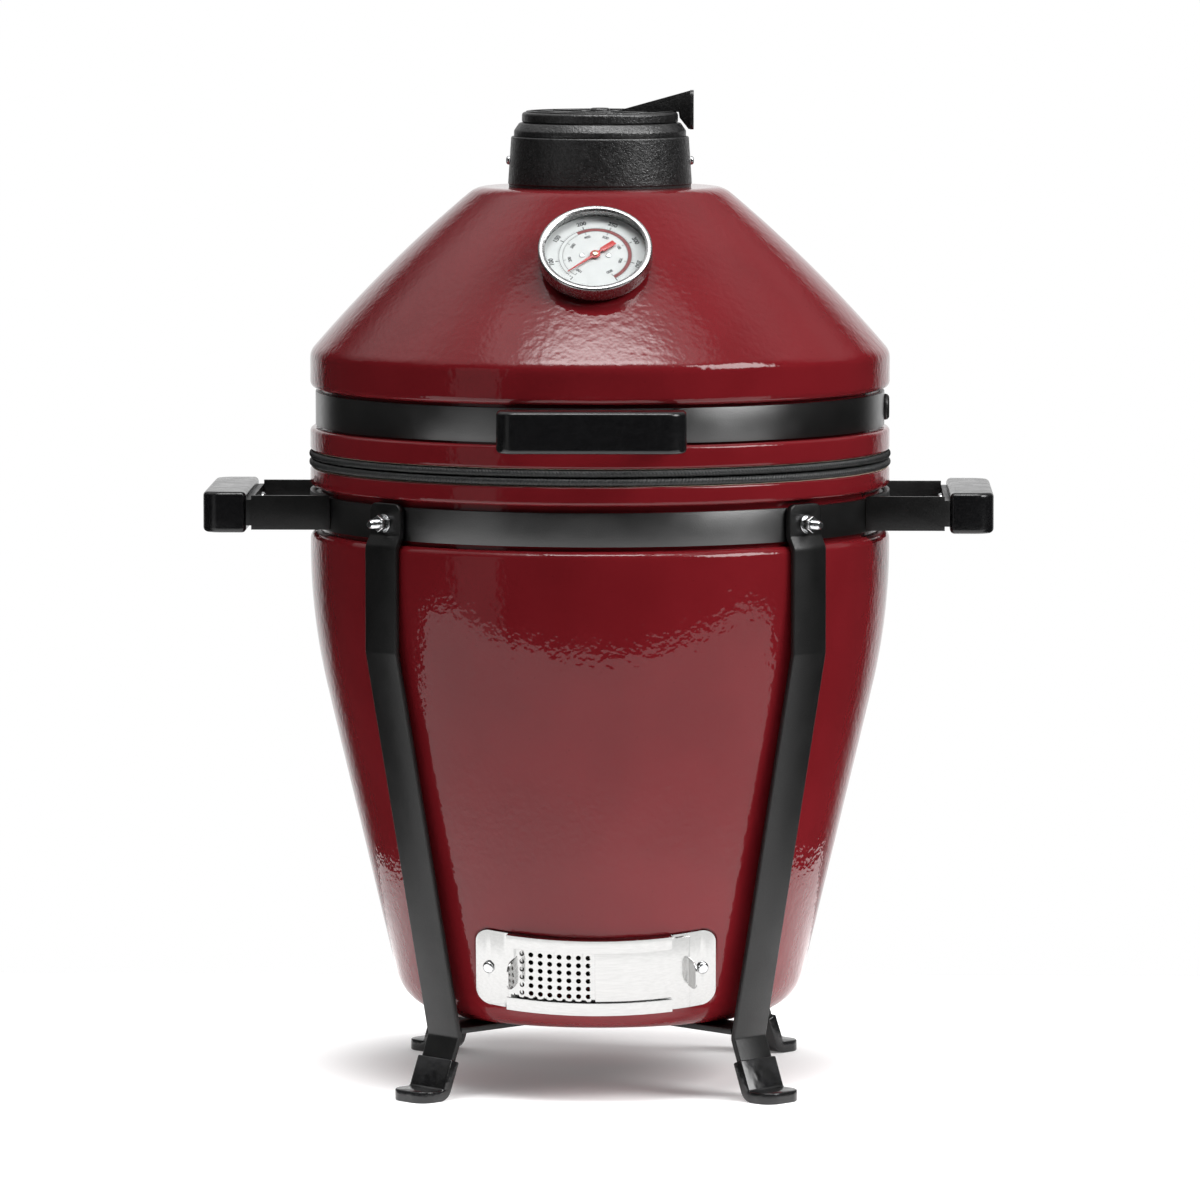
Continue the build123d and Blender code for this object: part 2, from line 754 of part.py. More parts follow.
def vent_disc():
    """Turning disc with the same slots."""
    low, high = vent_disc_z
    disc = turned((0, low), (vent_disc_r, low, 1), (vent_disc_r, high, 2.2), (0, high))
    return slotted(disc, vent_disc_z) - rod(fastener_r + hinge_clearance, 600, 700)


def vent_lever():
    """Upright blade on the disc with a finger plate at its outer end."""
    top = vent_disc_z[1]
    outline = make_face(
        Polyline(
            (9, top),
            (62.2, top + 14.8),
            (62.2, 650.6),
            (61.0, 650.6),
            (54.8, 658.4),
            (54.2, top),
            close=True,
        )
    )
    blade = extrude(Plane.XZ * outline, 1.7, both=True)
    finger = fillet(Box(2.4, 20, 26.8).edges().filter_by(Axis.X), 4)
    return blade + Pos(63.3, 0, 663.9) * finger


def vent_pivot_screw():
    """Centre screw: shank in the plate and disc, head above the disc."""
    seat = vent_disc_z[1] + 0.3
    return rod(fastener_r, vent_plate_z[0] + vent_plate_recess, seat) + domed_head(7, seat, 2.6)


# ---------------------------------------------------------------- assembly
def write_base():
    """Everything that stands still."""
    strip = leg()
    cap = foot_cap(strip)
    holes = [(angle, leg_bolt_z) for angle in leg_angles.values()]
    holes += [(angle, side_handle_z) for angle in side_rivets + hinge_bolt_angles]
    keep("ceramic_base", ceramic_base())
    keep("base_gasket", rim_gasket(bowl_rim_z, seam_z - seam_gap / 2))
    keep("lower_band", band(lower_band_z, holes))
    for name, angle in leg_angles.items():
        keep(f"leg_{name}", spun(angle, strip))
        keep(f"foot_cap_{name}", spun(angle, cap))
    seat = leg_tab_u + leg_thickness / 2
    washer = tube(fastener_r, 6.2, seat, seat + 1.4)
    nut = hexagon(10, seat + 1.4, seat + 6.6, fastener_r)
    angles = list(leg_angles.values())
    keep("leg_bolts", Compound([outward(angle, leg_bolt_z, leg_bolt()) for angle in angles]))
    keep("leg_washers", Compound([outward(angle, leg_bolt_z, washer) for angle in angles]))
    keep("leg_nuts", Compound([outward(angle, leg_bolt_z, nut) for angle in angles]))
    keep("cross_brace", cross_brace())
    bracket = handle_bracket(side_handle, side_handle_z, (-handle_rivet_angle, handle_rivet_angle))
    grip = handle_grip(side_handle, side_handle_z)
    for name, angle in {"right": 0, "left": 180}.items():
        keep(f"side_bracket_{name}", spun(angle, bracket))
        keep(f"side_grip_{name}", spun(angle, grip))
    screws = grip_screws(side_handle, side_handle_z)
    keep("side_grip_screws", Compound([spun(angle, screws) for angle in (0, 180)]))
    side_rivet = rivet(plate_r[1], 6, 3.2)
    riveted = [outward(angle, side_handle_z, side_rivet) for angle in side_rivets]
    keep("side_bracket_rivets", Compound(riveted))


def write_hinge():
    """Rear hinge: lower leaf, pin, springs and stop rod on the base, upper leaf on the lid."""
    keep("hinge_base_leaf", spun(90, hinge_base_leaf()))
    keep("hinge_lid_leaf", spun(90, hinge_lid_leaf()))
    keep("hinge_pin", spun(90, across(hinge_pin(), hinge_u, seam_z)))
    half = base_plate_t + hinge_plate / 2
    pin_nut = hexagon(12, -half - 6, -half, hinge_pin_r)
    keep("hinge_pin_nut", spun(90, across(pin_nut, hinge_u, seam_z)))
    springs = [spun(90, across(hinge_spring(side), hinge_u, seam_z)) for side in (-1, 1)]
    keep("hinge_springs", Compound(springs))
    bar = rod(hinge_pin_r, -half - 2, half + 2)
    keep("hinge_stop_rod", spun(90, across(bar, *stop_rod)))
    bolt = rivet(plate_r[1], 5, 3)
    keep("hinge_base_bolts", Compound([outward(angle, side_handle_z, bolt) for angle in hinge_bolt_angles]))
    keep("hinge_lid_bolts", Compound([outward(angle, lid_handle_z, bolt) for angle in hinge_bolt_angles]))


def write_inside():
    """Fire box, grates and fire ring."""
    keep("fire_box", fire_box())
    keep("charcoal_grate", charcoal_grate())
    keep("fire_ring", fire_ring())
    keep("cooking_grate", cooking_grate())


def write_draft():
    """Draft vent at the bottom front."""
    keep("draft_frame", draft_frame())
    keep("draft_screen", draft_screen())
    keep("draft_door", draft_door())
    keep("draft_frame_screws", Compound([draft_plane * screw for screw in draft_frame_screws()]))


def write_lid():
    """Lid, its band, handle and gasket."""
    holes = [(angle, lid_handle_z) for angle in lid_rivets + hinge_bolt_angles + [upper_band_bolt_angle]]
    keep("ceramic_lid", ceramic_lid())
    keep("lid_gasket", rim_gasket(seam_z + seam_gap / 2, lid_rim_z))
    keep("upper_band", band(upper_band_z, holes))
    keep("upper_band_bolt", outward(upper_band_bolt_angle, lid_handle_z, rivet(band_r[1], 9, 3.4)))
    bracket = handle_bracket(lid_handle, lid_handle_z, (-handle_rivet_angle, handle_rivet_angle))
    keep("lid_bracket", spun(-90, bracket))
    keep("lid_grip", spun(-90, handle_grip(lid_handle, lid_handle_z)))
    keep("lid_grip_screws", spun(-90, grip_screws(lid_handle, lid_handle_z)))
    lid_rivet = rivet(plate_r[1], 6, 3.2)
    keep("lid_bracket_rivets", Compound([outward(angle, lid_handle_z, lid_rivet) for angle in lid_rivets]))


def write_thermometer():
    """Dial thermometer on the lid's front."""
    low, high = gauge_depth
    dial = rod(gauge_r - 2.9, *dial_depth) - rod(1.4, 0, 20)
    glass = rod(gauge_r - 2.6, high - 3.4, high - 1.5)
    screw = domed_head(1.9, dial_depth[1], 0.8)
    keep("thermometer_case", gauge_plane * thermometer_case())
    keep("thermometer_bezel", gauge_plane * thermometer_bezel())
    keep("thermometer_glass", gauge_plane * glass)
    keep("thermometer_dial", gauge_plane * dial)
    keep("thermometer_stem", gauge_plane * thermometer_stem())
    keep("thermometer_nut", gauge_plane * hexagon(17, -28.5, -22.8, stem_r))
    keep("dial_screws", Compound([gauge_plane * (Pos(side * 9, 0, 0) * screw) for side in (-1, 1)]))
    keep("needle", needle())


def write_vent():
    """Top vent on the flue."""
    keep("chimney_gasket", tube(flue_r + 3, collar_r[0] - 0.6, lid_top_z, collar_z[0]))
    keep("vent_collar", vent_collar())
    collar_screw = domed_head(3, 62.5, 2.2)
    keep("collar_screws", Compound([outward(angle, 629, collar_screw) for angle in (0, 180)]))
    keep("vent_plate", vent_plate())
    keep("vent_disc", vent_disc())
    keep("vent_lever", vent_lever())
    keep("vent_pivot_screw", vent_pivot_screw())


os.makedirs("parts", exist_ok=True)
write_base()
write_hinge()
write_inside()
write_draft()
write_lid()
write_thermometer()
write_vent()
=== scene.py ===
# Looks for a table-top ceramic charcoal grill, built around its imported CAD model.
# Lengths are metres, +Z is up and the front is -Y, as in the model.
import json
import math

import bmesh
import bpy
from mathutils import Matrix, Vector, noise

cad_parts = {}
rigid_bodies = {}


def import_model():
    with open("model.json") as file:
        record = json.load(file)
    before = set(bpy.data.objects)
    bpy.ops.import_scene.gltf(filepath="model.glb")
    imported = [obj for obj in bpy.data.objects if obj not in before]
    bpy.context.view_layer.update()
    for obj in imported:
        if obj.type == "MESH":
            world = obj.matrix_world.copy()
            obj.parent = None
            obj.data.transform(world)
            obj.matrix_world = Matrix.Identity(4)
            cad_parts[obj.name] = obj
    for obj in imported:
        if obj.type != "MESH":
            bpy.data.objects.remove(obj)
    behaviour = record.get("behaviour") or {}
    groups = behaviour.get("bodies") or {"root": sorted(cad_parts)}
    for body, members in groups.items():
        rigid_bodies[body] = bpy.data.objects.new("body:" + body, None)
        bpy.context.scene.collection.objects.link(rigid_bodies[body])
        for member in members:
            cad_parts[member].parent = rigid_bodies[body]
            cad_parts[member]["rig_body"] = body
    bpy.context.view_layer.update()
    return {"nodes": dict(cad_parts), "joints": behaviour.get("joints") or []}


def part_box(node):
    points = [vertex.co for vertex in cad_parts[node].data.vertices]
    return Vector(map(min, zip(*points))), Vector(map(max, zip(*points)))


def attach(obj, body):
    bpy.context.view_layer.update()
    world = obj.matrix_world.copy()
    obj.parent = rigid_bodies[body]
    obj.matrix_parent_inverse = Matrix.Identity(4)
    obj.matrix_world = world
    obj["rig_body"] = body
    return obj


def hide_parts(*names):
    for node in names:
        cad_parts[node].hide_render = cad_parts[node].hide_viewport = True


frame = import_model()

MM = 0.001
nodes = frame["nodes"]
joints = {joint["name"]: joint for joint in frame["joints"]}


# ================================================================ places taken from the frame
def facing(origin, outward, sideways):
    """Matrix of a local frame whose Z points outward and whose X points sideways."""
    z_axis = Vector(outward).normalized()
    x_axis = Vector(sideways).normalized()
    y_axis = z_axis.cross(x_axis)
    turn = Matrix((x_axis, y_axis, z_axis)).transposed().to_4x4()
    return Matrix.Translation(Vector(origin)) @ turn


def radial(angle, height):
    """Matrix of a local frame whose Z points away from the grill's axis, at an angle in degrees."""
    turn = Matrix.Rotation(math.radians(angle), 4, "Z")
    return turn @ Matrix.Translation((0, 0, height)) @ Matrix.Rotation(math.radians(90), 4, "Y")


needle_joint = joints["needle_turn"]
gauge = facing(needle_joint["pos_m"], -Vector(needle_joint["axis"]), (1, 0, 0))
door_joint = joints["door_slide"]
draft = facing(door_joint["pos_m"], -Vector(door_joint["axis"]), (1, 0, 0))
taper = -door_joint["axis"][1] / door_joint["axis"][2]
hinge = Vector(joints["lid_hinge"]["pos_m"])

LEG_ANGLES = (-45, -135, 135, 45)
RIVET_TURN = 8.6
HINGE_BOLT_TURNS = (-9.8, -4.9, 4.9, 9.8)
lower_mid = (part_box("side_bracket_left")[0].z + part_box("side_bracket_left")[1].z) / 2
upper_mid = (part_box("lid_bracket")[0].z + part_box("lid_bracket")[1].z) / 2
leg_bolt_z = (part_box("leg_bolts")[0].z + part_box("leg_bolts")[1].z) / 2


# ================================================================ camera, light and floor
def make_camera():
    """Long lens, a little to the right of the front and a little above."""
    distance = 5.6
    height = 0.847
    aim_height = 0.3317
    turn = math.radians(1.3)
    focal_length = 243.6
    data = bpy.data.cameras.new("camera")
    data.lens = focal_length
    camera = bpy.data.objects.new("camera", data)
    bpy.context.scene.collection.objects.link(camera)
    camera.location = (distance * math.sin(turn), -distance * math.cos(turn), height)
    aim = Vector((0, 0, aim_height))
    camera.rotation_euler = (aim - camera.location).to_track_quat("-Z", "Y").to_euler()
    bpy.context.scene.camera = camera


class Wiring:
    """Short calls that add nodes to a node tree."""

    def __init__(self, tree):
        self.tree = tree

    def node(self, kind, inputs=None, **settings):
        """A new node with its settings, and values or links on its inputs."""
        made = self.tree.nodes.new(kind)
        for name, value in settings.items():
            setattr(made, name, value)
        for socket, value in (inputs or {}).items():
            if isinstance(value, bpy.types.NodeSocket):
                self.tree.links.new(value, made.inputs[socket])
            else:
                made.inputs[socket].default_value = value
        return made

    def maths(self, operation, first, second=0.0):
        """One arithmetic step."""
        return self.node("ShaderNodeMath", {0: first, 1: second}, operation=operation).outputs[0]

    def remap(self, value, low, high, to_low=0.0, to_high=1.0):
        """A value moved smoothly from one range to another, and held at its ends."""
        ends = {"From Min": low, "From Max": high, "To Min": to_low, "To Max": to_high}
        inputs = {"Value": value, **ends}
        made = self.node("ShaderNodeMapRange", inputs, interpolation_type="SMOOTHSTEP")
        return made.outputs[0]

    def blend(self, factor, first, second):
        """Two colours mixed by a factor."""
        made = self.node("ShaderNodeMix", {0: factor, 6: first, 7: second}, data_type="RGBA")
        return made.outputs[2]


def softbox(wiring, direction, azimuth, elevation, half_width, half_height, edge, radiance):
    """Light from a soft-edged rectangle in the sky, its centre at an azimuth from the front
    towards +X and an elevation, all in degrees."""
    turn = math.radians(azimuth)
    lift = math.radians(elevation)
    middle = (math.sin(turn) * math.cos(lift), -math.cos(turn) * math.cos(lift), math.sin(lift))
    across = (math.cos(turn), math.sin(turn), 0.0)
    up = tuple(Vector(middle).cross(Vector(across)))
    least_ahead = 0.05
    parts = []
    for axis in (middle, across, up):
        dot = wiring.node("ShaderNodeVectorMath", {0: direction, 1: axis}, operation="DOT_PRODUCT")
        parts.append(dot.outputs["Value"])
    ahead = wiring.maths("GREATER_THAN", parts[0], least_ahead)
    window = wiring.maths("MULTIPLY", ahead, radiance)
    for part, half in ((parts[1], half_width), (parts[2], half_height)):
        depth = wiring.maths("MAXIMUM", parts[0], least_ahead)
        slope = wiring.maths("ABSOLUTE", wiring.maths("DIVIDE", part, depth))
        limit = math.tan(math.radians(half))
        soft = math.tan(math.radians(edge))
        inside = wiring.remap(slope, limit - soft, limit + soft, 1.0, 0.0)
        window = wiring.maths("MULTIPLY", window, inside)
    return window


def make_world():
    """Studio around the grill: white behind it, nearly dark in front, with softboxes above and
    beside it. The camera sees plain white wherever it looks past the grill and the floor."""
    world = bpy.data.worlds.new("studio")
    bpy.context.scene.world = world
    world.use_nodes = True
    wiring = Wiring(world.node_tree)
    background = world.node_tree.nodes["Background"]
    direction = wiring.node("ShaderNodeTexCoord").outputs["Generated"]
    spread = wiring.node("ShaderNodeSeparateXYZ", {0: direction})
    above_floor = wiring.remap(spread.outputs["Z"], -0.3, -0.15)
    behind = wiring.remap(spread.outputs["Y"], 0.76, 0.93, 0.0, 0.92)
    behind = wiring.maths("ADD", wiring.maths("MULTIPLY", behind, above_floor), 0.03)
    ceiling = wiring.remap(spread.outputs["Z"], 0.6, 0.8, 0.0, 0.3)
    # azimuth, elevation, half width, half height, soft edge, radiance
    boxes = [
        (0, 74, 17, 7, 7, 12.0),  # overhead
        (-4, 78, 27, 15, 5, 1.2),  # dim frame round the overhead box
        (64, 36, 14, 14, 4, 11.0),  # main light, from the right
        (-108, 50, 26, 16, 8, 0.4),  # fill, from the left and behind
        (-49, 2, 10, 26, 1.5, 0.33),  # tall strip on the left
        (180, 55, 60, 22, 12, 0.3),  # rear fill
    ]
    lights = [softbox(wiring, direction, *box) for box in boxes]
    total = wiring.maths("ADD", behind, ceiling)
    for light in lights:
        total = wiring.maths("ADD", total, light)
    seen = wiring.node("ShaderNodeLightPath").outputs["Is Camera Ray"]
    either = wiring.node("ShaderNodeMix", {0: seen, 2: total, 3: 1.0}, data_type="FLOAT")
    strength = either.outputs[0]
    background.inputs["Color"].default_value = (1, 1, 1, 1)
    world.node_tree.links.new(strength, background.inputs["Strength"])


def make_floor():
    """Plain pale floor, narrow beside the grill and wide in front of it. It has painted light: a
    faint emission, low under the bowl, strongest in a ring round the grill and fading far off,
    which washes out cast shadows there and leaves a soft shadow only under the bowl."""
    near_half = 0.5
    far_half = 1.6
    widens_y = -0.12
    wide_y = -0.6
    front_y = -1.0
    right_side = [
        (far_half, front_y),
        (far_half, wide_y),
        (near_half, widens_y),
        (near_half, near_half),
    ]
    corners = [(-x, y, 0) for x, y in reversed(right_side)] + [(x, y, 0) for x, y in right_side]
    paper = 0.86
    mesh = bpy.data.meshes.new("floor")
    mesh.from_pydata(corners, [], [tuple(range(len(corners)))])
    floor = bpy.data.objects.new("floor", mesh)
    bpy.context.scene.collection.objects.link(floor)
    material = bpy.data.materials.new("floor_paper")
    material.use_nodes = True
    shader = material.node_tree.nodes["Principled BSDF"]
    shader.inputs["Base Color"].default_value = (paper, paper, paper, 1)
    shader.inputs["Roughness"].default_value = 0.9
    shader.inputs["Specular IOR Level"].default_value = 0.0
    shader.inputs["Emission Color"].default_value = (1, 1, 1, 1)
    wiring = Wiring(material.node_tree)
    where = wiring.node("ShaderNodeTexCoord").outputs["Object"]
    to_middle = {0: where, 1: (0, -0.05, 0)}
    from_middle = wiring.node("ShaderNodeVectorMath", to_middle, operation="ADD").outputs[0]
    length = wiring.node("ShaderNodeVectorMath", {0: from_middle}, operation="LENGTH")
    distance = length.outputs["Value"]
    rises = (0.13, 0.24)
    falls = (0.42, 0.60)
    # painted light: floor emission rising away from the bowl, which washes out cast shadows round
    # the grill
    painted_glow = wiring.remap(distance, *rises, 0.13, 0.66)
    painted_glow = wiring.maths("SUBTRACT", painted_glow, wiring.remap(distance, *falls, 0.0, 0.52))
    material.node_tree.links.new(painted_glow, shader.inputs["Emission Strength"])
    mesh.materials.append(material)


# ================================================================ finishes
class Finish(Wiring):
    """A material with one Principled shader, and calls for what varies over its surface."""

    def __init__(self, name, **values):
        self.material = bpy.data.materials.new(name)
        self.material.use_nodes = True
        super().__init__(self.material.node_tree)
        self.shader = self.tree.nodes["Principled BSDF"]
        self.normal = None
        for socket, value in values.items():
            self.shader.inputs[socket.replace("_", " ")].default_value = value

    def place(self, stretch):
        """Position on the grill, scaled along each axis."""
        where = self.node("ShaderNodeTexCoord").outputs["Object"]
        return self.node("ShaderNodeMapping", {"Vector": where, "Scale": stretch}).outputs["Vector"]

    def grain(self, size, detail=2.0, stretch=(1, 1, 1)):
        """Soft noise with features of about that size."""
        where = self.place(stretch)
        inputs = {"Vector": where, "Scale": 1 / size, "Detail": detail}
        return self.node("ShaderNodeTexNoise", inputs).outputs[0]

    def cells(self, size):
        """Distance from the middle of cells of about that size."""
        where = self.place((1, 1, 1))
        made = self.node("ShaderNodeTexVoronoi", {"Vector": where, "Scale": 1 / size})
        return made.outputs["Distance"]

    def colour(self, socket):
        """Base colour from a socket."""
        self.tree.links.new(socket, self.shader.inputs["Base Color"])

    def roughness(self, value, low, high):
        """Roughness between two ends, following a noise."""
        self.tree.links.new(self.remap(value, 0.3, 0.7, low, high), self.shader.inputs["Roughness"])

    def bump(self, height, depth):
        """Relief on top of what is there, its full height given in metres."""
        inputs = {"Height": height, "Distance": depth, "Strength": 1.0}
        if self.normal is not None:
            inputs["Normal"] = self.normal
        self.normal = self.node("ShaderNodeBump", inputs).outputs["Normal"]
        self.tree.links.new(self.normal, self.shader.inputs["Normal"])


def rgb(red, green, blue):
    return (red, green, blue, 1.0)


def red_glaze():
    """Thick glossy glaze: deep red, orange-peel ripple, a few dark specks."""
    made = Finish("glaze_red", IOR=1.41)
    cloud = made.remap(made.grain(0.06), 0.3, 0.7)
    body = made.blend(cloud, rgb(0.152, 0.0080, 0.0116), rgb(0.170, 0.0096, 0.0138))
    specks = made.remap(made.cells(0.009), 0.03, 0.055, 1.0, 0.0)
    made.colour(made.blend(specks, body, rgb(0.10, 0.005, 0.007)))
    made.roughness(made.grain(0.03), 0.035, 0.075)
    made.bump(made.grain(0.0075, 1.0), 0.00018)
    made.bump(made.grain(0.0040, 1.0), 0.00016)
    return made.material


def raw_ceramic(name, light, dark):
    """Unglazed refractory: warm buff, sandy, with pore pits darkened as painted shade."""
    made = Finish(name, Roughness=0.92, IOR=1.45)
    patches = made.remap(made.grain(0.03, 4.0), 0.3, 0.7)
    tone = made.blend(patches, dark, light)
    # painted shade: darker colour in the pore pits
    painted_pore_shade = made.remap(made.cells(0.0035), 0.06, 0.16, 1.0, 0.0)
    made.colour(made.blend(painted_pore_shade, tone, tuple(0.45 * part for part in dark[:3]) + (1.0,)))
    made.bump(made.grain(0.0012, 4.0), 0.0005)
    made.bump(made.remap(made.cells(0.0035), 0.05, 0.2), 0.0003)
    return made.material


def band_coat():
    """Satin powder coat over a band rolled round the shell, its highlights drawn up and down."""
    made = Finish("coat_band", IOR=2.1, Anisotropic=0.80, Anisotropic_Rotation=0.25)
    around = made.node("ShaderNodeTangent", direction_type="RADIAL", axis="Z").outputs[0]
    made.tree.links.new(around, made.shader.inputs["Tangent"])
    fleck = made.remap(made.grain(0.0009, 3.0), 0.45, 0.7)
    made.colour(made.blend(fleck, rgb(0.001, 0.001, 0.001), rgb(0.006, 0.006, 0.006)))
    made.roughness(made.grain(0.02, 3.0), 0.31, 0.37)
    made.bump(made.grain(0.0010, 3.0), 0.00009)
    return made.material


def black_coat():
    """Satin powder coat with a fine sandy grain."""
    made = Finish("coat_black", IOR=1.5)
    fleck = made.remap(made.grain(0.0009, 3.0), 0.45, 0.7)
    made.colour(made.blend(fleck, rgb(0.001, 0.001, 0.001), rgb(0.006, 0.006, 0.006)))
    made.roughness(made.grain(0.02, 3.0), 0.38, 0.45)
    made.bump(made.grain(0.0010, 3.0), 0.00009)
    return made.material


def black_grip():
    """Hard moulded plastic with a fine matte grain."""
    made = Finish("grip_black", IOR=1.5)
    fleck = made.remap(made.grain(0.0012, 2.0), 0.4, 0.7)
    made.colour(made.blend(fleck, rgb(0.004, 0.004, 0.0045), rgb(0.009, 0.009, 0.0095)))
    made.roughness(made.grain(0.012, 3.0), 0.17, 0.25)
    made.bump(made.grain(0.0007, 2.0), 0.00007)
    return made.material


def foot_vinyl():
    """Dipped soft vinyl, glossy with slow ripples."""
    made = Finish("vinyl_black", IOR=1.5)
    cloud = made.remap(made.grain(0.01), 0.3, 0.7)
    made.colour(made.blend(cloud, rgb(0.006, 0.006, 0.006), rgb(0.011, 0.011, 0.012)))
    made.roughness(made.grain(0.008), 0.14, 0.26)
    made.bump(made.grain(0.006, 1.0), 0.00025)
    return made.material


def bare_metal(name, tint, low, high, stretch=(1, 1, 1), depth=0.000012, dark=0.82):
    """Metal with fine marks, long along the axis whose stretch is smallest."""
    made = Finish(name, Metallic=1.0)
    marks = made.grain(0.0011, 4.0, stretch)
    darker = tuple(dark * part for part in tint[:3]) + (1.0,)
    made.colour(made.blend(made.remap(marks, 0.25, 0.75), darker, tint))
    made.roughness(made.grain(0.0016, 4.0, stretch), low, high)
    made.bump(marks, depth)
    return made.material


def cast_black():
    """Cast part under a coarse crackle paint."""
    made = Finish("cast_black_paint", IOR=1.75)
    fleck = made.remap(made.grain(0.0018, 3.0), 0.4, 0.65)
    made.colour(made.blend(fleck, rgb(0.005, 0.005, 0.005), rgb(0.018, 0.018, 0.0185)))
    made.roughness(made.grain(0.004, 3.0), 0.34, 0.46)
    made.bump(made.grain(0.0021, 3.0), 0.00042)
    made.bump(made.remap(made.cells(0.0016), 0.0, 0.5), 0.00012)
    return made.material


def grate_iron():
    """Rough cast iron with a warm, dusty tone in patches."""
    made = Finish("iron_rough", Metallic=0.6)
    rust = made.remap(made.grain(0.012, 4.0), 0.45, 0.7)
    made.colour(made.blend(rust, rgb(0.075, 0.072, 0.070), rgb(0.13, 0.10, 0.08)))
    made.roughness(made.grain(0.004, 3.0), 0.55, 0.8)
    made.bump(made.grain(0.0016, 3.0), 0.0006)
    return made.material


def seal_rope():
    """Dark mineral rope with pale threads in its weave."""
    made = Finish("seal_rope_grey", Roughness=0.42, IOR=1.5)
    threads = made.remap(made.grain(0.0007, 2.0), 0.45, 0.68)
    made.colour(made.blend(threads, rgb(0.014, 0.015, 0.015), rgb(0.055, 0.057, 0.057)))
    made.bump(made.grain(0.0006, 2.0), 0.0002)
    return made.material


def dial_face():
    """White enamel, very slightly mottled."""
    made = Finish("enamel_white", Roughness=0.34, IOR=1.5)
    cloud = made.remap(made.grain(0.006), 0.3, 0.7)
    made.colour(made.blend(cloud, rgb(0.64, 0.64, 0.635), rgb(0.68, 0.68, 0.675)))
    made.bump(made.grain(0.0009), 0.000006)
    return made.material


def print_ink(name, ink):
    """Printed ink with a slight unevenness."""
    made = Finish(name, Roughness=0.5, IOR=1.45)
    worn = tuple(min(1.0, 1.35 * part + 0.01) for part in ink[:3]) + (1.0,)
    made.colour(made.blend(made.remap(made.grain(0.0012), 0.4, 0.7), ink, worn))
    return made.material


def pointer_red():
    """Red lacquer on the pointer."""
    made = Finish("lacquer_red", Roughness=0.32, IOR=1.5)
    cloud = made.remap(made.grain(0.002), 0.3, 0.7)
    made.colour(made.blend(cloud, rgb(0.52, 0.022, 0.022), rgb(0.60, 0.035, 0.03)))
    made.bump(made.grain(0.0008), 0.00001)
    return made.material


def window_glass():
    """Flat glass: clear, with its reflection laid over what is behind."""
    made = Finish("glass_clear", Roughness=0.02, IOR=1.5)
    made.tree.nodes.remove(made.shader)
    clear = made.node("ShaderNodeBsdfTransparent", {"Color": rgb(0.97, 0.98, 0.98)})
    smudge = made.remap(made.grain(0.008, 3.0), 0.4, 0.7, 0.015, 0.05)
    gloss = made.node("ShaderNodeBsdfGlossy", {"Roughness": smudge})
    edge = made.node("ShaderNodeFresnel", {"IOR": 1.13})
    layers = {0: edge.outputs[0], 1: clear.outputs[0], 2: gloss.outputs[0]}
    mix = made.node("ShaderNodeMixShader", layers)
    made.tree.links.new(mix.outputs[0], made.tree.nodes["Material Output"].inputs["Surface"])
    return made.material


ALONG_X = (0.06, 1, 1)
finishes = {
    "red_glaze": red_glaze(),
    "firebrick": raw_ceramic("refractory", rgb(0.58, 0.47, 0.35), rgb(0.47, 0.37, 0.27)),
    "rim_felt": seal_rope(),
    "black_coat": black_coat(),
    "black_grip": black_grip(),
    "foot_vinyl": foot_vinyl(),
    "zinc": bare_metal("zinc_bright", rgb(0.70, 0.71, 0.72), 0.14, 0.28),
    "stainless": bare_metal(
        "steel_brushed", rgb(0.51, 0.51, 0.504), 0.12, 0.20, ALONG_X, depth=0.00002, dark=0.92
    ),
    "bezel_steel": bare_metal(
        "steel_polished", rgb(0.46, 0.46, 0.46), 0.24, 0.34, depth=0.000003, dark=0.93
    ),
    "dial_white": dial_face(),
    "dial_glass": window_glass(),
    "needle_red": pointer_red(),
    "cast_black": cast_black(),
    "grate_iron": grate_iron(),
    "grate_steel": bare_metal("steel_wire", rgb(0.62, 0.61, 0.60), 0.25, 0.42),
    "spring_steel": bare_metal("steel_spring", rgb(0.42, 0.42, 0.43), 0.25, 0.4),
}
rolled_band = band_coat()
lining = raw_ceramic("lining_buff", rgb(0.55, 0.46, 0.36), rgb(0.44, 0.36, 0.28))
ink_black = print_ink("ink_black", rgb(0.02, 0.02, 0.022))
ink_red = print_ink("ink_red", rgb(0.22, 0.035, 0.035))


# ================================================================ mesh helpers
def slot_of(node):
    """The record's material slot of a CAD node."""
    return nodes[node].data.materials[0].name


slots = {name: slot_of(name) for name in nodes}


def finish_of(node):
    """The material for a CAD node: the two bands have a coat of their own."""
    return rolled_band if node in ("lower_band", "upper_band") else finishes[slots[node]]


def piece(name, mesh, node, finish=None, crease=35, standing_for=True):
    """A finished mesh as a piece that moves with a CAD node's body and takes its slot."""
    if not mesh.materials:
        mesh.materials.append(finish or finish_of(node))
    mesh.shade_smooth()
    mesh.set_sharp_from_angle(angle=math.radians(crease))
    made = bpy.data.objects.new(name, mesh)
    bpy.context.scene.collection.objects.link(made)
    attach(made, nodes[node]["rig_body"])
    if standing_for:
        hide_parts(node)
    return made


def to_mesh(grid, name):
    """A bmesh as a new mesh."""
    mesh = bpy.data.meshes.new(name)
    grid.to_mesh(mesh)
    grid.free()
    return mesh


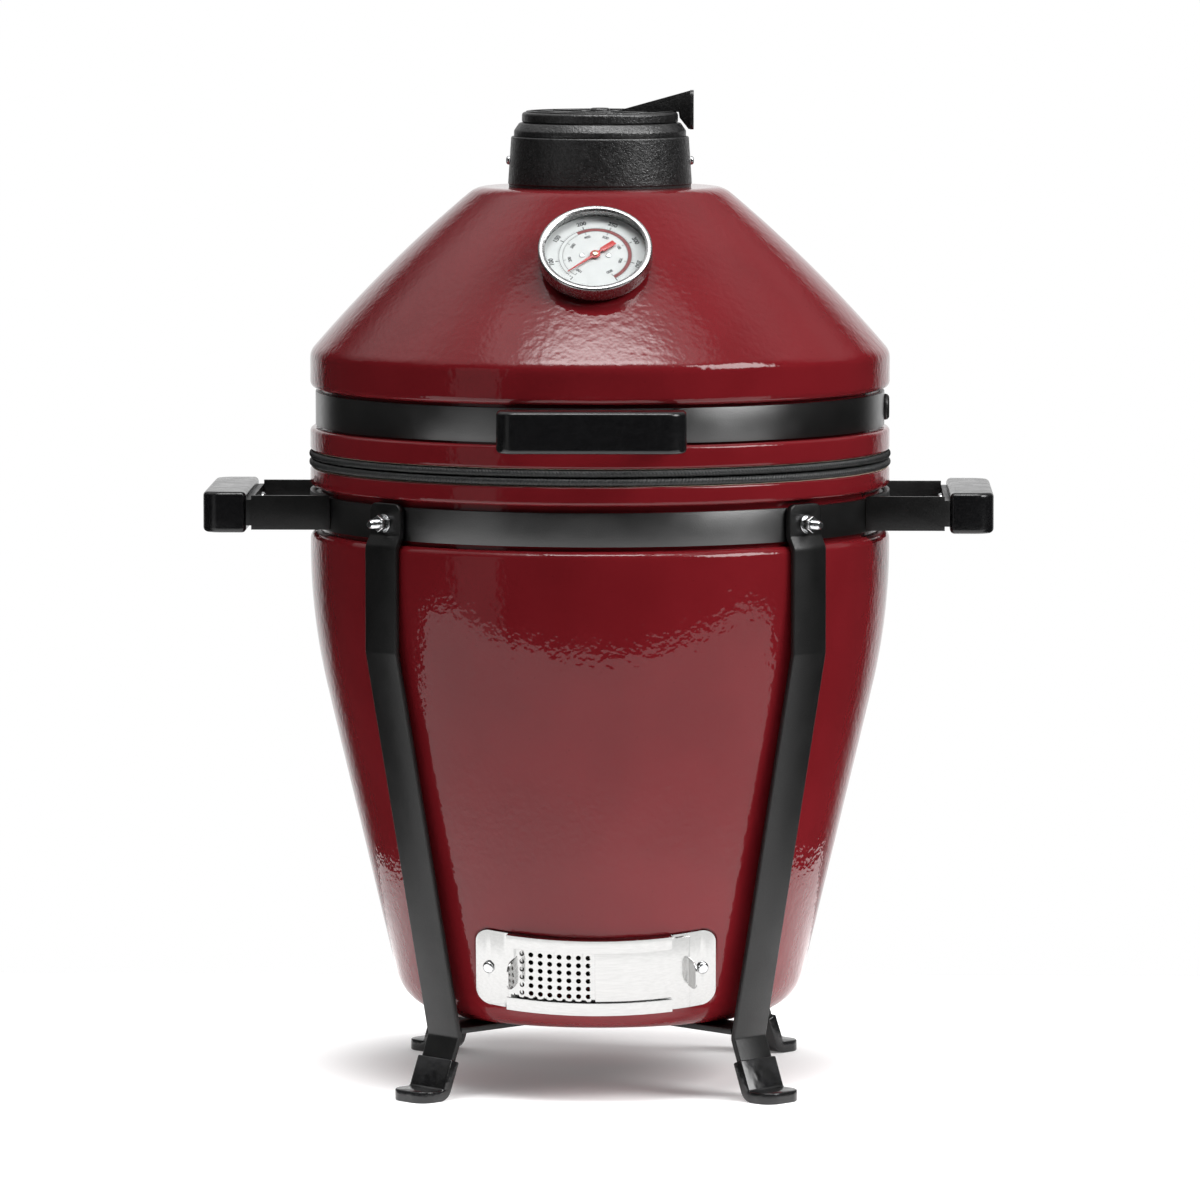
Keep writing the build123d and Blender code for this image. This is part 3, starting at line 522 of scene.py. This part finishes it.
def rounded_line(corners, step=None, arc_steps=None, closed=False):
    """Points along a line whose corners (x, y, radius) are rounded. Straight runs are cut into
    lengths of at most step, and arcs into arc_steps pieces where that is given."""
    path = []
    count = len(corners)
    for index, corner in enumerate(corners):
        here = Vector(corner[:2])
        at_end = not closed and index in (0, count - 1)
        if at_end or len(corner) < 3:
            path.append(here)
            continue
        back = (Vector(corners[index - 1][:2]) - here).normalized()
        ahead = (Vector(corners[(index + 1) % count][:2]) - here).normalized()
        half = back.angle(ahead) / 2
        radius = corner[2]
        centre = here + (back + ahead).normalized() * radius / math.sin(half)
        start = here + back * radius / math.tan(half) - centre
        end = here + ahead * radius / math.tan(half) - centre
        sweep = math.copysign(math.pi - 2 * half, start.cross(end))
        longest_turn = 0.2
        pieces = arc_steps
        if pieces is None:
            by_length = math.ceil(radius * abs(sweep) / step)
            pieces = max(2, by_length, math.ceil(abs(sweep) / longest_turn))
        for part in range(pieces + 1):
            path.append(centre + Matrix.Rotation(sweep * part / pieces, 2) @ start)
    if step is None:
        return path
    fine = []
    pairs = zip(path, path[1:] + path[:1]) if closed else zip(path[:-1], path[1:])
    for first, second in pairs:
        pieces = max(1, math.ceil((second - first).length / step))
        fine += [first.lerp(second, part / pieces) for part in range(pieces)]
    return fine if closed else fine + [path[-1]]


def turned(name, outline, segments, place=None, closed=True):
    """Mesh of an outline of (r, z) points turned about Z. Points on the axis close it there."""
    points = []
    rings = []
    for r, z in outline:
        rings.append(len(points))
        if r < 1e-7:
            points.append((0, 0, z))
            continue
        for index in range(segments):
            turn = math.tau * index / segments
            points.append((r * math.cos(turn), r * math.sin(turn), z))
    faces = []
    last = len(outline) if closed else len(outline) - 1
    for index in range(last):
        following = (index + 1) % len(outline)
        one, two = rings[index], rings[following]
        point_one = outline[index][0] < 1e-7
        point_two = outline[following][0] < 1e-7
        for turn in range(segments):
            beside = (turn + 1) % segments
            if point_one and point_two:
                continue
            if point_one:
                faces.append((one, two + beside, two + turn))
            elif point_two:
                faces.append((one + turn, one + beside, two))
            else:
                faces.append((one + turn, one + beside, two + beside, two + turn))
    mesh = bpy.data.meshes.new(name)
    if place is not None:
        points = [place @ Vector(point) for point in points]
    mesh.from_pydata(points, [], faces)
    mesh.validate()
    return mesh


def outward_faces(mesh):
    """Make every face of a closed mesh point out."""
    grid = bmesh.new()
    grid.from_mesh(mesh)
    bmesh.ops.recalc_face_normals(grid, faces=grid.faces)
    grid.to_mesh(mesh)
    grid.free()
    return mesh


def tube_along(grid, points, radius, sides=8, closed=False, normals=None):
    """Round bar along points. Its cross-sections keep the given normals, or turn as little as
    they can from one to the next."""
    count = len(points)
    rings = []
    normal = None
    for index, point in enumerate(points):
        after = points[(index + 1) % count] if closed or index < count - 1 else point
        before = points[index - 1] if closed or index > 0 else point
        along = (after - before).normalized()
        if normals is not None:
            normal = normals[index]
        elif normal is None:
            normal = along.orthogonal()
        normal = (normal - along * normal.dot(along)).normalized()
        binormal = along.cross(normal)
        ring = []
        for side in range(sides):
            turn = math.tau * side / sides
            away = math.cos(turn) * normal + math.sin(turn) * binormal
            ring.append(grid.verts.new(point + radius * away))
        rings.append(ring)
    last = count if closed else count - 1
    for index in range(last):
        one, two = rings[index], rings[(index + 1) % count]
        for side in range(sides):
            beside = (side + 1) % sides
            grid.faces.new((one[side], one[beside], two[beside], two[side]))
    if not closed:
        grid.faces.new(list(reversed(rings[0])))
        grid.faces.new(rings[-1])


def round_outline(radius):
    """Points round a circle."""
    sides = 24
    turns = [math.tau * index / sides for index in range(sides)]
    return [Vector((radius * math.cos(turn), radius * math.sin(turn))) for turn in turns]


def prism(grid, outlines, place):
    """Solid through a stack of (outline, height) levels with the same number of points."""
    rings = []
    for outline, height in outlines:
        points = [place @ Vector((point[0], point[1], height)) for point in outline]
        rings.append([grid.verts.new(point) for point in points])
    for one, two in zip(rings[:-1], rings[1:]):
        count = len(one)
        for index in range(count):
            beside = (index + 1) % count
            grid.faces.new((one[index], one[beside], two[beside], two[index]))
    grid.faces.new(list(reversed(rings[0])))
    grid.faces.new(rings[-1])


def slab(grid, outline_at, low, high, rim, place, rim_steps=5):
    """Prism whose top and bottom edges are rounded. outline_at gives its outline for an inset."""
    levels = []
    for step in range(rim_steps + 1):
        turn = math.pi / 2 * step / rim_steps
        levels.append((outline_at(rim * (1 - math.sin(turn))), low + rim * (1 - math.cos(turn))))
    for step in range(rim_steps, -1, -1):
        turn = math.pi / 2 * step / rim_steps
        levels.append((outline_at(rim * (1 - math.sin(turn))), high - rim * (1 - math.cos(turn))))
    prism(grid, levels, place)


def carved(mesh, cutter):
    """The mesh with a closed cutter taken out of it."""
    body = bpy.data.objects.new("carving_body", mesh)
    tool = bpy.data.objects.new("carving_tool", cutter)
    for made in (body, tool):
        bpy.context.scene.collection.objects.link(made)
    modifier = body.modifiers.new("cut", "BOOLEAN")
    modifier.operation = "DIFFERENCE"
    modifier.solver = "MANIFOLD"
    modifier.object = tool
    graph = bpy.context.evaluated_depsgraph_get()
    result = bpy.data.meshes.new_from_object(body.evaluated_get(graph))
    for made in (body, tool):
        bpy.data.objects.remove(made)
    return result


def rounded_node(node, width):
    """A CAD node's own shape with its sharp edges rounded by width."""
    same_place = 0.002 * MM
    flat = math.radians(0.4)
    corner = math.radians(30)
    grid = bmesh.new()
    grid.from_mesh(nodes[node].data)
    bmesh.ops.remove_doubles(grid, verts=grid.verts, dist=same_place)
    bmesh.ops.dissolve_limit(grid, angle_limit=flat, verts=grid.verts, edges=grid.edges)
    sharp = []
    for edge in grid.edges:
        if len(edge.link_faces) == 2 and edge.calc_face_angle(0.0) > corner:
            sharp.append(edge)
    bmesh.ops.bevel(
        grid,
        geom=sharp,
        offset=width,
        segments=2,
        profile=0.5,
        affect="EDGES",
        clamp_overlap=True,
    )
    name = f"{node}_shell"
    piece(name, to_mesh(grid, name), node)


# ================================================================ ceramic shells
SHELL_TURNS = 448
SHELL_STEP = 2.8 * MM
WALL = 24 * MM
GLAZE_LIP = 2.5 * MM


def ripple(mesh, glazed):
    """Slow unevenness and a fine ripple on the glazed faces of a turned shell."""
    slow, slow_size = 0.22 * MM, 70 * MM
    fine, fine_size = 0.05 * MM, 11 * MM
    elsewhere = Vector((7, 3, 5))
    on_glaze = set()
    for face in mesh.polygons:
        if glazed(face.center):
            on_glaze.update(face.vertices)
        else:
            face.material_index = 1
    normals = [vertex.normal.copy() for vertex in mesh.vertices]
    points = [vertex.co.copy() for vertex in mesh.vertices]
    for index in on_glaze:
        large = noise.noise(points[index] / slow_size)
        small = noise.noise(points[index] / fine_size + elsewhere)
        points[index] -= normals[index] * (slow * (0.5 + 0.5 * large) + fine * small)
    mesh.vertices.foreach_set("co", [part for point in points for part in point])
    mesh.update()


def pockets(grid, places):
    """Round pockets for fastener heads, behind the bands."""
    ring = round_outline(7.5 * MM)
    floor_r = 190.2 * MM
    open_r = 198.2 * MM
    for place in places:
        prism(grid, [(ring, floor_r), (ring, open_r)], place)


def draft_seat(grid):
    """Solid that cuts the draft vent's curved seat into the bowl."""
    half_x = 82.5 * MM
    half_v = 28 * MM
    corner = 11 * MM
    seat_r = 151.2 * MM
    outside_y = -190 * MM
    columns = 48
    rows = []
    for index in range(columns + 1):
        x = half_x * math.sin(math.pi / 2 * (2 * index / columns - 1))
        into_corner = max(0.0, abs(x) - (half_x - corner))
        v = half_v - corner + math.sqrt(max(0.0, corner**2 - into_corner**2))
        inner_y = -math.sqrt(seat_r**2 - x**2)
        column = []
        for y, side in ((inner_y, -1), (inner_y, 1), (outside_y, 1), (outside_y, -1)):
            column.append(grid.verts.new(draft @ Vector((x, y, side * v))))
        rows.append(column)
    for one, two in zip(rows[:-1], rows[1:]):
        for side in range(4):
            beside = (side + 1) % 4
            grid.faces.new((one[side], one[beside], two[beside], two[side]))
    grid.faces.new(list(reversed(rows[0])))
    grid.faces.new(rows[-1])


def box_solid(grid, low, high, place):
    """Plain box, used for cutting and for printed bars."""
    outline = [(low[0], low[1]), (high[0], low[1]), (high[0], high[1]), (low[0], high[1])]
    prism(grid, [(outline, low[2]), (outline, high[2])], place)


def cutter_from(build, *arguments):
    """Closed cutter mesh made by a function that fills a bmesh."""
    grid = bmesh.new()
    build(grid, *arguments)
    bmesh.ops.recalc_face_normals(grid, faces=grid.faces)
    return to_mesh(grid, "cutter")


def make_bowl():
    """Glazed bowl with a buff lining: rounded foot, taper, shoulder, band groove and rim."""
    low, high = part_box("ceramic_base")
    band_low, band_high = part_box("lower_band")
    body_r = high.x
    foot_r = 135.6 * MM
    bore_r = 176.2 * MM
    groove_r = band_high.x - 3.2 * MM
    groove = (band_low.z - 3 * MM, band_high.z + 4.8 * MM)
    floor_z = low.z + WALL
    corner_z = low.z + (body_r - foot_r) / taper
    inner_foot_r = foot_r + taper * WALL - WALL * math.hypot(1, taper)
    inner_corner_z = floor_z + (bore_r - inner_foot_r) / taper
    outline = rounded_line(
        [
            (0, low.z),
            (foot_r, low.z, 32 * MM),
            (body_r, corner_z, 430 * MM),
            (body_r, groove[0], 6 * MM),
            (groove_r, groove[0]),
            (groove_r, groove[1]),
            (body_r, groove[1], 3 * MM),
            (body_r, high.z, GLAZE_LIP),
            (bore_r, high.z, 3 * MM),
            (bore_r, inner_corner_z, 300 * MM),
            (inner_foot_r, floor_z, 8 * MM),
            (0, floor_z),
        ],
        step=SHELL_STEP,
    )
    mesh = outward_faces(turned("bowl_shell", outline, SHELL_TURNS, closed=False))
    mesh.materials.append(finishes["red_glaze"])
    mesh.materials.append(lining)

    def glazed(point):
        r = math.hypot(point.x, point.y)
        outer = min(body_r, foot_r + taper * (point.z - low.z)) - WALL / 2
        return point.z < low.z + WALL / 2 or r > max(outer, 0) and point.z < high.z - 0.5 * MM

    ripple(mesh, glazed)
    places = [radial(angle, leg_bolt_z) for angle in LEG_ANGLES]
    for side in (0, 180):
        places += [radial(side + turn, lower_mid) for turn in (-RIVET_TURN, RIVET_TURN)]
    places += [radial(90 + turn, lower_mid) for turn in HINGE_BOLT_TURNS]
    mesh = carved(mesh, cutter_from(pockets, places))
    mesh = carved(mesh, cutter_from(draft_seat))
    duct_low = (-49.5 * MM, -181.6 * MM, -17 * MM)
    duct_high = (-3.5 * MM, -91.6 * MM, 17 * MM)
    mesh = carved(mesh, cutter_from(box_solid, duct_low, duct_high, draft))
    piece("bowl_shell", mesh, "ceramic_base", crease=40)


def make_dome():
    """Glazed lid with a buff lining: rim, band groove, shoulder and bowed cone up to the flue."""
    low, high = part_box("ceramic_lid")
    band_low, band_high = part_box("upper_band")
    body_r = high.x
    bore_r = 176.2 * MM
    groove_r = band_high.x - 3.2 * MM
    groove = (band_low.z - 1.4 * MM, band_high.z + 2.2 * MM)
    shoulder = Vector((body_r, high.z - 113.2 * MM))
    top = Vector((85.3 * MM, high.z))
    inner_shoulder = Vector((bore_r, high.z - 121.0 * MM))
    inner_top = Vector((71.5 * MM, high.z - 17.1 * MM))
    flue_r = 50 * MM

    def bowed(first, second, bow):
        """Points along a gentle arc between two corners, clear of the corners' own rounding."""
        clear = 14 * MM
        span = second - first
        side = Vector((-span.y, span.x)).normalized() * (-1 if span.y > 0 else 1)
        steps = round((span.length - 2 * clear) / SHELL_STEP)
        points = []
        for index in range(steps + 1):
            share = (clear + (span.length - 2 * clear) * index / steps) / span.length
            points.append(tuple(first + span * share + side * 4 * bow * share * (1 - share)))
        return points

    outline = rounded_line(
        [
            (flue_r, high.z, 3 * MM),
            (flue_r, inner_top.y, 3 * MM),
            (*inner_top, 10 * MM),
            *bowed(inner_top, inner_shoulder, 4.5 * MM),
            (*inner_shoulder, 14 * MM),
            (bore_r, low.z, 3 * MM),
            (body_r, low.z, GLAZE_LIP),
            (body_r, groove[0], 3 * MM),
            (groove_r, groove[0]),
            (groove_r, groove[1]),
            (body_r, groove[1], 5 * MM),
            (*shoulder, 11 * MM),
            *bowed(shoulder, top, 3.5 * MM),
            (*top, 18 * MM),
        ],
        step=SHELL_STEP,
        closed=True,
    )
    mesh = outward_faces(turned("dome_shell", outline, SHELL_TURNS))
    mesh.materials.append(finishes["red_glaze"])
    mesh.materials.append(lining)

    def glazed(point):
        r = math.hypot(point.x, point.y)
        if point.z > top.y - 4 * MM:
            return True
        if point.z < shoulder.y - 5 * MM:
            return r > body_r - WALL / 2 and point.z > low.z + 0.5 * MM
        share = (point.z - shoulder.y) / (top.y - shoulder.y)
        return r > shoulder.x + share * (top.x - shoulder.x) - 10 * MM

    ripple(mesh, glazed)
    places = [radial(angle, upper_mid) for angle in (0, -90 - RIVET_TURN, -90 + RIVET_TURN)]
    places += [radial(90 + turn, upper_mid) for turn in HINGE_BOLT_TURNS]
    mesh = carved(mesh, cutter_from(pockets, places))
    stem = round_outline(5 * MM)
    stem_ends = (-60 * MM, 20 * MM)
    mesh = carved(mesh, cutter_from(prism, [(stem, end) for end in stem_ends], gauge))
    piece("dome_shell", mesh, "ceramic_lid", crease=40)


# ================================================================ seals
def make_seal(node, name, lean):
    """Flat inner part of a rim seal and the twisted rope along its outer edge."""
    low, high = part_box(node)
    thickness = high.z - low.z
    middle = (high.z + low.z) / 2
    strands = 3
    strand_r = 0.3 * thickness
    lay_r = thickness / 2 - strand_r
    rope_r = high.x - thickness / 2
    inner_r = high.x - 16.9 * MM
    inset = 0.3 * MM
    turns = 170
    steps = 10 * turns
    grid = bmesh.new()
    for strand in range(strands):
        points = []
        normals = []
        for index in range(steps):
            angle = math.tau * index / steps
            phase = lean * angle * turns + math.tau * strand / strands
            out = Vector((math.cos(angle), math.sin(angle), 0))
            normal = math.cos(phase) * out + math.sin(phase) * Vector((0, 0, 1))
            points.append(out * rope_r + Vector((0, 0, middle)) + normal * lay_r)
            normals.append(normal)
        tube_along(grid, points, strand_r, 6, closed=True, normals=normals)
    rope = to_mesh(grid, f"{name}_rope")
    corners = [
        (inner_r, low.z),
        (rope_r, low.z + inset),
        (rope_r, high.z - inset),
        (inner_r, high.z),
    ]
    outline = rounded_line([(r, z, 1 * MM) for r, z in corners], step=4 * MM, closed=True)
    piece(f"{name}_rope", rope, node, crease=80)
    web = outward_faces(turned(f"{name}_web", outline, 256))
    piece(f"{name}_web", web, node, standing_for=False)


# ================================================================ grips
def make_grip(node, name, angle):
    """Moulded grip with rounded outer corners and rims."""
    low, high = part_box(node)
    place = Matrix.Rotation(math.radians(angle), 4, "Z")
    corners = [place.inverted() @ Vector(point) for point in (low, high)]
    inner = min(corner.x for corner in corners)
    outer = max(corner.x for corner in corners)
    half = abs(corners[0].y - corners[1].y) / 2
    rim = 3.2 * MM
    inner_corner = 3.4 * MM
    outer_corner = 13 * MM

    def outline_at(inset):
        return rounded_line(
            [
                (inner + inset, -half + inset, inner_corner - inset),
                (outer - inset, -half + inset, outer_corner - inset),
                (outer - inset, half - inset, outer_corner - inset),
                (inner + inset, half - inset, inner_corner - inset),
            ],
            arc_steps=10,
            closed=True,
        )

    grid = bmesh.new()
    slab(grid, outline_at, low.z, high.z, rim, place, 6)
    bmesh.ops.recalc_face_normals(grid, faces=grid.faces)
    piece(name, to_mesh(grid, name), node, crease=50)


# ================================================================ fasteners and springs
def threaded_bolt(grid, place, start, end, radius, pitch):
    """Shank with thread crests and a chamfered tip, along a local frame's Z."""
    root_r = radius - 0.35 * pitch
    tip_r = radius - 0.7 * MM
    sides = 20
    outline = [(0, start), (radius, start)]
    crest = start + pitch
    while crest < end - pitch:
        outline += [(root_r, crest), (radius, crest + 0.5 * pitch)]
        crest += pitch
    outline += [(tip_r, end), (0, end)]
    mesh = turned("bolt", outline, sides, place, closed=False)
    grid.from_mesh(mesh)
    bpy.data.meshes.remove(mesh)


def make_leg_bolts():
    """Bolts of the legs, with real threads where they stand out of the nuts."""
    thread_r = 3 * MM
    thread_pitch = 1.0 * MM
    shank = (193.3 * MM, 215.2 * MM)
    head = round_outline(6.2 * MM)
    head_ends = (190.8 * MM, 193.2 * MM)
    grid = bmesh.new()
    for angle in LEG_ANGLES:
        place = radial(angle, leg_bolt_z)
        threaded_bolt(grid, place, *shank, thread_r, thread_pitch)
        prism(grid, [(head, end) for end in head_ends], place)
    bmesh.ops.recalc_face_normals(grid, faces=grid.faces)
    piece("leg_bolt_threads", to_mesh(grid, "leg_bolt_threads"), "leg_bolts", crease=45)


def make_springs():
    """Close-wound torsion springs on the hinge pin, each with one straight tail."""
    coil_r = 8.0 * MM
    wire_r = 1.45 * MM
    pitch = 3.0 * MM
    turns = 9
    tail = 24 * MM
    tail_steps = 6
    inner_end = 8 * MM
    steps_a_turn = 28
    steps = turns * steps_a_turn
    grid = bmesh.new()
    for side in (-1, 1):
        start = inner_end if side > 0 else -inner_end - turns * pitch
        points = []
        for index in range(tail_steps):
            points.append(Vector((start + wire_r, -tail * (1 - index / tail_steps), -coil_r)))
        for index in range(steps + 1):
            turn = -math.pi / 2 + math.tau * index / steps_a_turn
            x = start + wire_r + (turns - 1) * pitch * index / steps
            points.append(Vector((x, coil_r * math.cos(turn), coil_r * math.sin(turn))))
        tube_along(grid, [hinge + point for point in points], wire_r, 10)
    bmesh.ops.recalc_face_normals(grid, faces=grid.faces)
    piece("hinge_spring_coils", to_mesh(grid, "hinge_spring_coils"), "hinge_springs", crease=60)


# ================================================================ thermometer
SCALE_START = 233.0
SCALE_SWEEP = -289.0
FACE_DEPTH = 5.62 * MM
PRINT_HEIGHT = 0.05 * MM


def arc_strip(grid, r_in, r_out, start, end):
    """Thin printed arc on the dial, between two angles in degrees."""
    steps = max(4, math.ceil(abs(end - start) / 3))
    angles = [math.radians(start + (end - start) * k / steps) for k in range(steps + 1)]
    outline = [(r_out * math.cos(a), r_out * math.sin(a)) for a in angles]
    outline += [(r_in * math.cos(a), r_in * math.sin(a)) for a in reversed(angles)]
    rings = [(outline, FACE_DEPTH), (outline, FACE_DEPTH + PRINT_HEIGHT)]
    sheets = []
    for points, depth in rings:
        sheets.append([grid.verts.new(gauge @ Vector((x, y, depth))) for x, y in points])
    count = len(outline)
    for index in range(count):
        beside = (index + 1) % count
        grid.faces.new((sheets[0][index], sheets[0][beside], sheets[1][beside], sheets[1][index]))
    for sheet in sheets:
        for index in range(steps):
            far = count - 1 - index
            grid.faces.new((sheet[index], sheet[index + 1], sheet[far - 1], sheet[far]))


def tick(grid, angle, r_in, r_out, width):
    """Thin printed bar along a radius of the dial."""
    place = gauge @ Matrix.Rotation(math.radians(angle), 4, "Z")
    low = (r_in, -width / 2, FACE_DEPTH)
    high = (r_out, width / 2, FACE_DEPTH + PRINT_HEIGHT)
    box_solid(grid, low, high, place)


def number(grid, text, angle, radius, size):
    """Printed number, its top away from the dial's middle."""
    curve = bpy.data.curves.new("number", "FONT")
    curve.body = text
    curve.size = size
    curve.align_x = "CENTER"
    curve.align_y = "CENTER"
    curve.extrude = PRINT_HEIGHT / 2
    curve.offset = 0.035 * size
    made = bpy.data.objects.new("number", curve)
    bpy.context.scene.collection.objects.link(made)
    graph = bpy.context.evaluated_depsgraph_get()
    mesh = bpy.data.meshes.new_from_object(made.evaluated_get(graph))
    bpy.data.objects.remove(made)
    spin = Matrix.Rotation(math.radians(angle), 4, "Z")
    spot = Matrix.Translation((radius, 0, FACE_DEPTH + PRINT_HEIGHT / 2))
    upright = Matrix.Rotation(math.radians(-90), 4, "Z")
    mesh.transform(gauge @ spin @ spot @ upright)
    grid.from_mesh(mesh)
    bpy.data.meshes.remove(mesh)


def make_dial_print():
    """Two number scales on the dial, with a red zone between the rings."""
    black = bmesh.new()
    red = bmesh.new()
    labels = 8
    end = SCALE_START + SCALE_SWEEP
    for r_in, r_out in ((24.45, 24.7), (21.95, 22.15)):
        arc_strip(black, r_in * MM, r_out * MM, SCALE_START, end)
    arc_strip(red, 22.2 * MM, 24.4 * MM, 122, end)
    for index in range(labels):
        angle = SCALE_START + SCALE_SWEEP * index / (labels - 1)
        tick(black, angle, 24.6 * MM, 27.3 * MM, 0.65 * MM)
        tick(black, angle, 20.0 * MM, 22.1 * MM, 0.4 * MM)
        number(black, str(50 * (index + 1)), angle, 30.0 * MM, 4.4 * MM)
        number(black, str(100 * (index + 1)), angle, 17.4 * MM, 3.0 * MM)
    fine = 10 * (labels - 1)
    for index in range(fine + 1):
        angle = SCALE_START + SCALE_SWEEP * index / fine
        tick(black, angle, 24.6 * MM, 25.8 * MM, 0.22 * MM)
        tick(black, angle, 21.2 * MM, 22.0 * MM, 0.16 * MM)
    for name, grid, ink in (("dial_scale", black, ink_black), ("dial_red_zone", red, ink_red)):
        bmesh.ops.recalc_face_normals(grid, faces=grid.faces)
        piece(name, to_mesh(grid, name), "thermometer_dial", ink, standing_for=False)


def make_bezel():
    """Rolled ring of the thermometer, its lip turned in over the glass."""
    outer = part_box("thermometer_bezel")[1].x
    low, high = 2 * MM, 14 * MM
    outline = rounded_line(
        [
            (outer - 1.4 * MM, low),
            (outer - 0.6 * MM, low, 0.4 * MM),
            (outer, low + 1.6 * MM, 1.5 * MM),
            (outer, high, 1.6 * MM),
            (outer - 3.0 * MM, high, 2.2 * MM),
            (outer - 4.5 * MM, high - 1.0 * MM, 0.35 * MM),
            (outer - 4.5 * MM, high - 1.4 * MM),
            (outer - 1.4 * MM, high - 1.4 * MM),
        ],
        step=1.2 * MM,
        closed=True,
    )
    mesh = outward_faces(turned("bezel_ring", outline, 180, gauge))
    piece("bezel_ring", mesh, "thermometer_bezel", crease=45)


def make_hub_cap():
    """Small brass cap over the middle of the pointer."""
    outline = rounded_line(
        [
            (0, 7.45 * MM),
            (2.1 * MM, 7.45 * MM, 0.2 * MM),
            (1.9 * MM, 8.5 * MM, 0.6 * MM),
            (0, 8.7 * MM),
        ],
        step=0.3 * MM,
    )
    mesh = outward_faces(turned("pointer_cap", outline, 32, gauge, closed=False))
    brass = bare_metal("brass_cap", rgb(0.80, 0.68, 0.48), 0.2, 0.35)
    piece("pointer_cap", mesh, "needle", brass, standing_for=False)


# ================================================================ top vent
def make_vent_ribs():
    """Raised rim and spokes cast on top of the vent disc, between its air slots."""
    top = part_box("vent_disc")[1].z
    height = 0.9 * MM
    sunk = 0.4 * MM
    near_x, near_half = 14 * MM, 1.6 * MM
    far_x, far_half = 44 * MM, 3.0 * MM
    corners = [(near_x, -near_half), (far_x, -far_half), (far_x, far_half), (near_x, near_half)]
    middle = Vector((29 * MM, 0))
    half_length = 15 * MM

    def outline_at(inset):
        share = 1 - inset / half_length
        return [middle + (Vector(corner) - middle) * share for corner in corners]

    grid = bmesh.new()
    for index in range(4):
        place = Matrix.Rotation(math.radians(45 + 90 * index), 4, "Z")
        slab(grid, outline_at, top - sunk, top + height, 0.5 * MM, place, 3)
    for r_in, r_out in ((10.5, 13.0), (48.5, 51.0)):
        outline = rounded_line(
            [
                (r_in * MM, top - sunk),
                (r_out * MM, top - sunk),
                (r_out * MM, top + height, 0.6 * MM),
                (r_in * MM, top + height, 0.6 * MM),
            ],
            step=1 * MM,
            closed=True,
        )
        ring = turned("ring", outline, 96)
        grid.from_mesh(ring)
        bpy.data.meshes.remove(ring)
    bmesh.ops.recalc_face_normals(grid, faces=grid.faces)
    piece("vent_disc_ribs", to_mesh(grid, "vent_disc_ribs"), "vent_disc", standing_for=False)


# ================================================================ assembly
# nodes that keep the shape of the model, with the width of their rounded edges in millimetres
ROUNDED = {
    "leg_front_right": 0.7, "leg_front_left": 0.7, "leg_rear_left": 0.7, "leg_rear_right": 0.7,
    "foot_cap_front_right": 1.3, "foot_cap_front_left": 1.3,
    "foot_cap_rear_left": 1.3, "foot_cap_rear_right": 1.3,
    "cross_brace": 0.5, "lower_band": 0.6, "upper_band": 0.6,
    "side_bracket_left": 0.5, "side_bracket_right": 0.5, "lid_bracket": 0.5,
    "hinge_base_leaf": 0.5, "hinge_lid_leaf": 0.5, "hinge_pin_nut": 0.4, "hinge_stop_rod": 0.5,
    "leg_nuts": 0.35, "leg_washers": 0.25,
    "draft_frame": 0.2, "draft_screen": 0.12, "draft_door": 0.2,
    "vent_lever": 0.5, "vent_plate": 0.4, "vent_disc": 0.4,
    "thermometer_case": 0.2, "needle": 0.1, "charcoal_grate": 0.8,
}

make_camera()
make_world()
make_floor()
make_bowl()
make_dome()
make_seal("base_gasket", "lower_seal", 1)
make_seal("lid_gasket", "upper_seal", -1)
make_grip("side_grip_right", "grip_right", 0)
make_grip("side_grip_left", "grip_left", 180)
make_grip("lid_grip", "grip_lid", -90)
make_leg_bolts()
make_springs()
make_bezel()
make_dial_print()
make_hub_cap()
make_vent_ribs()
for node_name, edge_width in ROUNDED.items():
    rounded_node(node_name, edge_width * MM)
for node_name, node in nodes.items():
    node.data.materials[0] = finish_of(node_name)

bpy.context.scene.view_settings.view_transform = "Standard"
